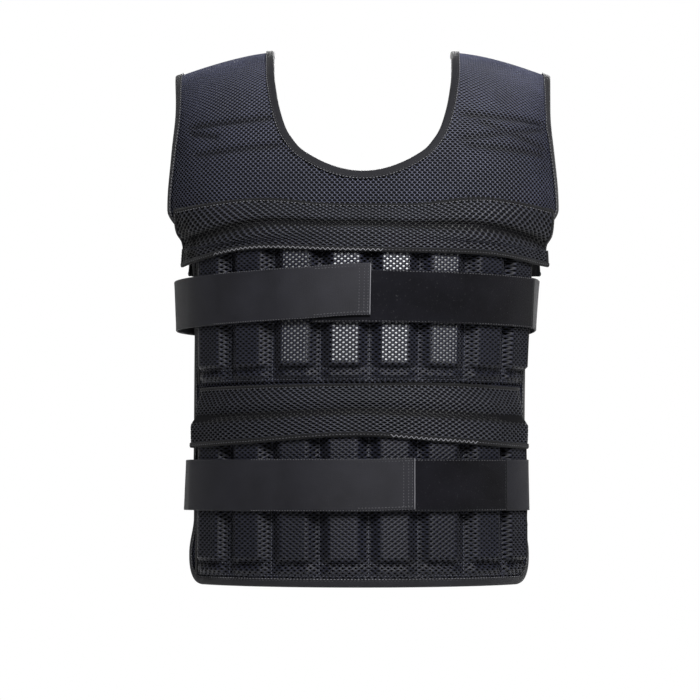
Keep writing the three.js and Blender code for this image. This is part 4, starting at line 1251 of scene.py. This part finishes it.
# Cloths: colour, roughness, sheen and grain a metre, and then what each one has beyond a plain cloth
# The mesh yarns' deep share is painted shade in their holes and creases
MESH_NAVY = cloth("mesh_navy_yarn", (0.0428, 0.0465, 0.0805), 0.5, 0.05, 1400,
                  bump=0.35, shine=0.3, deep=0.03)
MESH_POCKET = cloth("mesh_pocket_yarn", (0.0105, 0.0115, 0.0220), 0.5, 0.03, 1400,
                    bump=0.35, shine=0.2, deep=0.05)
MESH_BLACK = cloth("mesh_black_yarn", (0.0325, 0.0345, 0.0510), 0.5, 0.05, 1400,
                   bump=0.35, shine=0.3, deep=0.03)
HEM_CLOTH = cloth("hem_cloth", (0.0038, 0.0038, 0.0046), 0.75, 0.05, 1100, weave=(0.9, 0.7), bump=0.4)
# Backing: a real layer under the mesh, painted nearly black as painted shade in the holes
BACKING_WITH_PAINTED_SHADE = cloth("mesh_backing_painted_shade", (0.0012, 0.0012, 0.0018), 0.95, 0.0, 900, bump=0.2)
LINING = cloth("knit_lining", (0.006, 0.006, 0.008), 0.9, 0.05, 900, weave=(1.6, 1.2), bump=0.4)
TAPE_CLOTH = cloth("binding_tape", (0.0072, 0.0072, 0.0094), 0.65, 0.08, 1100,
                   weave=(0.9, 0.7), bump=0.4)
WEBBING = cloth("flat_webbing", (0.0082, 0.0082, 0.0108), 0.55, 0.03, 1300,
                bump=0.6, uneven=0.35, specks=0.013)
LOOP_FACE = cloth("loop_pile", (0.0030, 0.0030, 0.0042), 0.95, 0.03, 1800,
                  bump=1.0, uneven=0.6, shine=0.05, specks=0.02)
THREADS = {
    "navy": cloth("thread_navy", (0.055, 0.058, 0.072), 0.6, 0.05, 2500),
    "dark": cloth("thread_dark", (0.020, 0.020, 0.023), 0.6, 0.05, 2500),
    "grey": cloth("thread_grey", (0.060, 0.060, 0.066), 0.6, 0.05, 2500),
    "light": cloth("thread_light", (0.110, 0.110, 0.120), 0.6, 0.05, 2500),
}

# Bars in lit and shaded copies of one steel, with painted reflection: colour, roughness, grime and metal,
# from the painted bright middle outwards to the painted dark
STEEL_PAINTED_BRIGHT_REFLECTION = steel("zinc_painted_bright_reflection", (0.46, 0.47, 0.49), 0.4, 0.2, 0.3)
STEEL_PAINTED_HALF_REFLECTION = steel("zinc_painted_half_reflection", (0.25, 0.256, 0.268), 0.45, 0.25, 0.3)
STEEL_PAINTED_DARK_REFLECTION = steel("zinc_painted_dark_reflection", (0.0030, 0.0032, 0.0052), 0.6, 0.3, 0.0, shine=0.08)


def dress_plates():
    """Bars keep their solids, with softened edges; their colour is painted reflection: only the upper ones in
    the middle are painted bright, the next ones half bright, and the rest dark as painted shade and dark
    reflection.
    """
    for name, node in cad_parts.items():
        if "_plate_" not in name:
            continue
        number = int(name.rsplit("_", 1)[1])
        off_centre = abs(number - (POCKETS + 1) / 2) if "upper" in name else POCKETS
        # Painted reflection and shade: each bar gets a bright, half bright or dark copy of the same steel by
        # its place
        finish = STEEL_PAINTED_BRIGHT_REFLECTION if off_centre < 1 else STEEL_PAINTED_HALF_REFLECTION if off_centre < 2 else STEEL_PAINTED_DARK_REFLECTION
        node.data.materials.clear()
        node.data.materials.append(finish)
        edge = node.modifiers.new("worn_edge", "BEVEL")
        edge.width = PLATE_BEVEL * MM
        edge.segments = 2


def dress():
    for side, wider, back in (("front", 0, False), ("back", BACK_NECK_WIDER, True)):
        panel(side, wider, back)
        binding(f"{side}_edge_tape", f"{side}_edge_binding", edge_path(), 1, back)
        binding(f"{side}_neck_tape", f"{side}_neck_binding", neck_path(wider), -1, back)
        for row in (UPPER_ROW, LOWER_ROW):
            pocket_row(side, row, back)
        for size in (CHEST_FLAP, MID_FLAP):
            flap(side, size, back)
    for size in (UPPER_STRAP, LOWER_STRAP):
        strap_set(size)
    dress_plates()


def stage_plane(name, place, width, turn, material):
    location = [v * MM for v in place]
    bpy.ops.mesh.primitive_plane_add(size=width * MM, location=location, rotation=(turn, 0, 0))
    plane = bpy.context.object
    plane.name = name
    plane.data.materials.append(material)


def studio():
    """Pale floor, a white backdrop far behind, the lamps and the camera."""
    scene = bpy.context.scene
    floor = plain("pale_floor", (0.9, 0.9, 0.9), 0.9)
    stage_plane("floor", (0, 0, FLOOR_HEIGHT), FLOOR_WIDTH, 0, floor)
    place = (0, BACKDROP["away"], BACKDROP["height"])
    stage_plane("backdrop", place, BACKDROP["width"], math.pi / 2, glowing("white_backdrop", (1, 1, 1)))
    world = bpy.data.worlds.new("studio")
    scene.world = world
    world.use_nodes = True
    sky = world.node_tree.nodes["Background"].inputs
    sky["Color"].default_value = (1, 1, 1, 1)
    sky["Strength"].default_value = WORLD_LIGHT
    for name, row in LIGHTS.items():
        light = bpy.data.lights.new(name, "AREA")
        light.energy = row["power"]
        light.size = row["width"]
        lamp = bpy.data.objects.new(name, light)
        lamp.location = Vector(row["place"]) * MM
        view = Vector(LIGHT_AIM) * MM - lamp.location
        lamp.rotation_euler = view.to_track_quat("-Z", "Y").to_euler()
        scene.collection.objects.link(lamp)
    camera = bpy.data.cameras.new("camera")
    camera.lens = CAMERA_LENS
    eye = bpy.data.objects.new("camera", camera)
    eye.location = Vector(CAMERA_PLACE) * MM
    eye.rotation_euler = (math.radians(90 + CAMERA_PITCH), 0, math.radians(CAMERA_YAW))
    scene.collection.objects.link(eye)
    scene.camera = eye
    scene.view_settings.view_transform = "Standard"


studio()
dress()
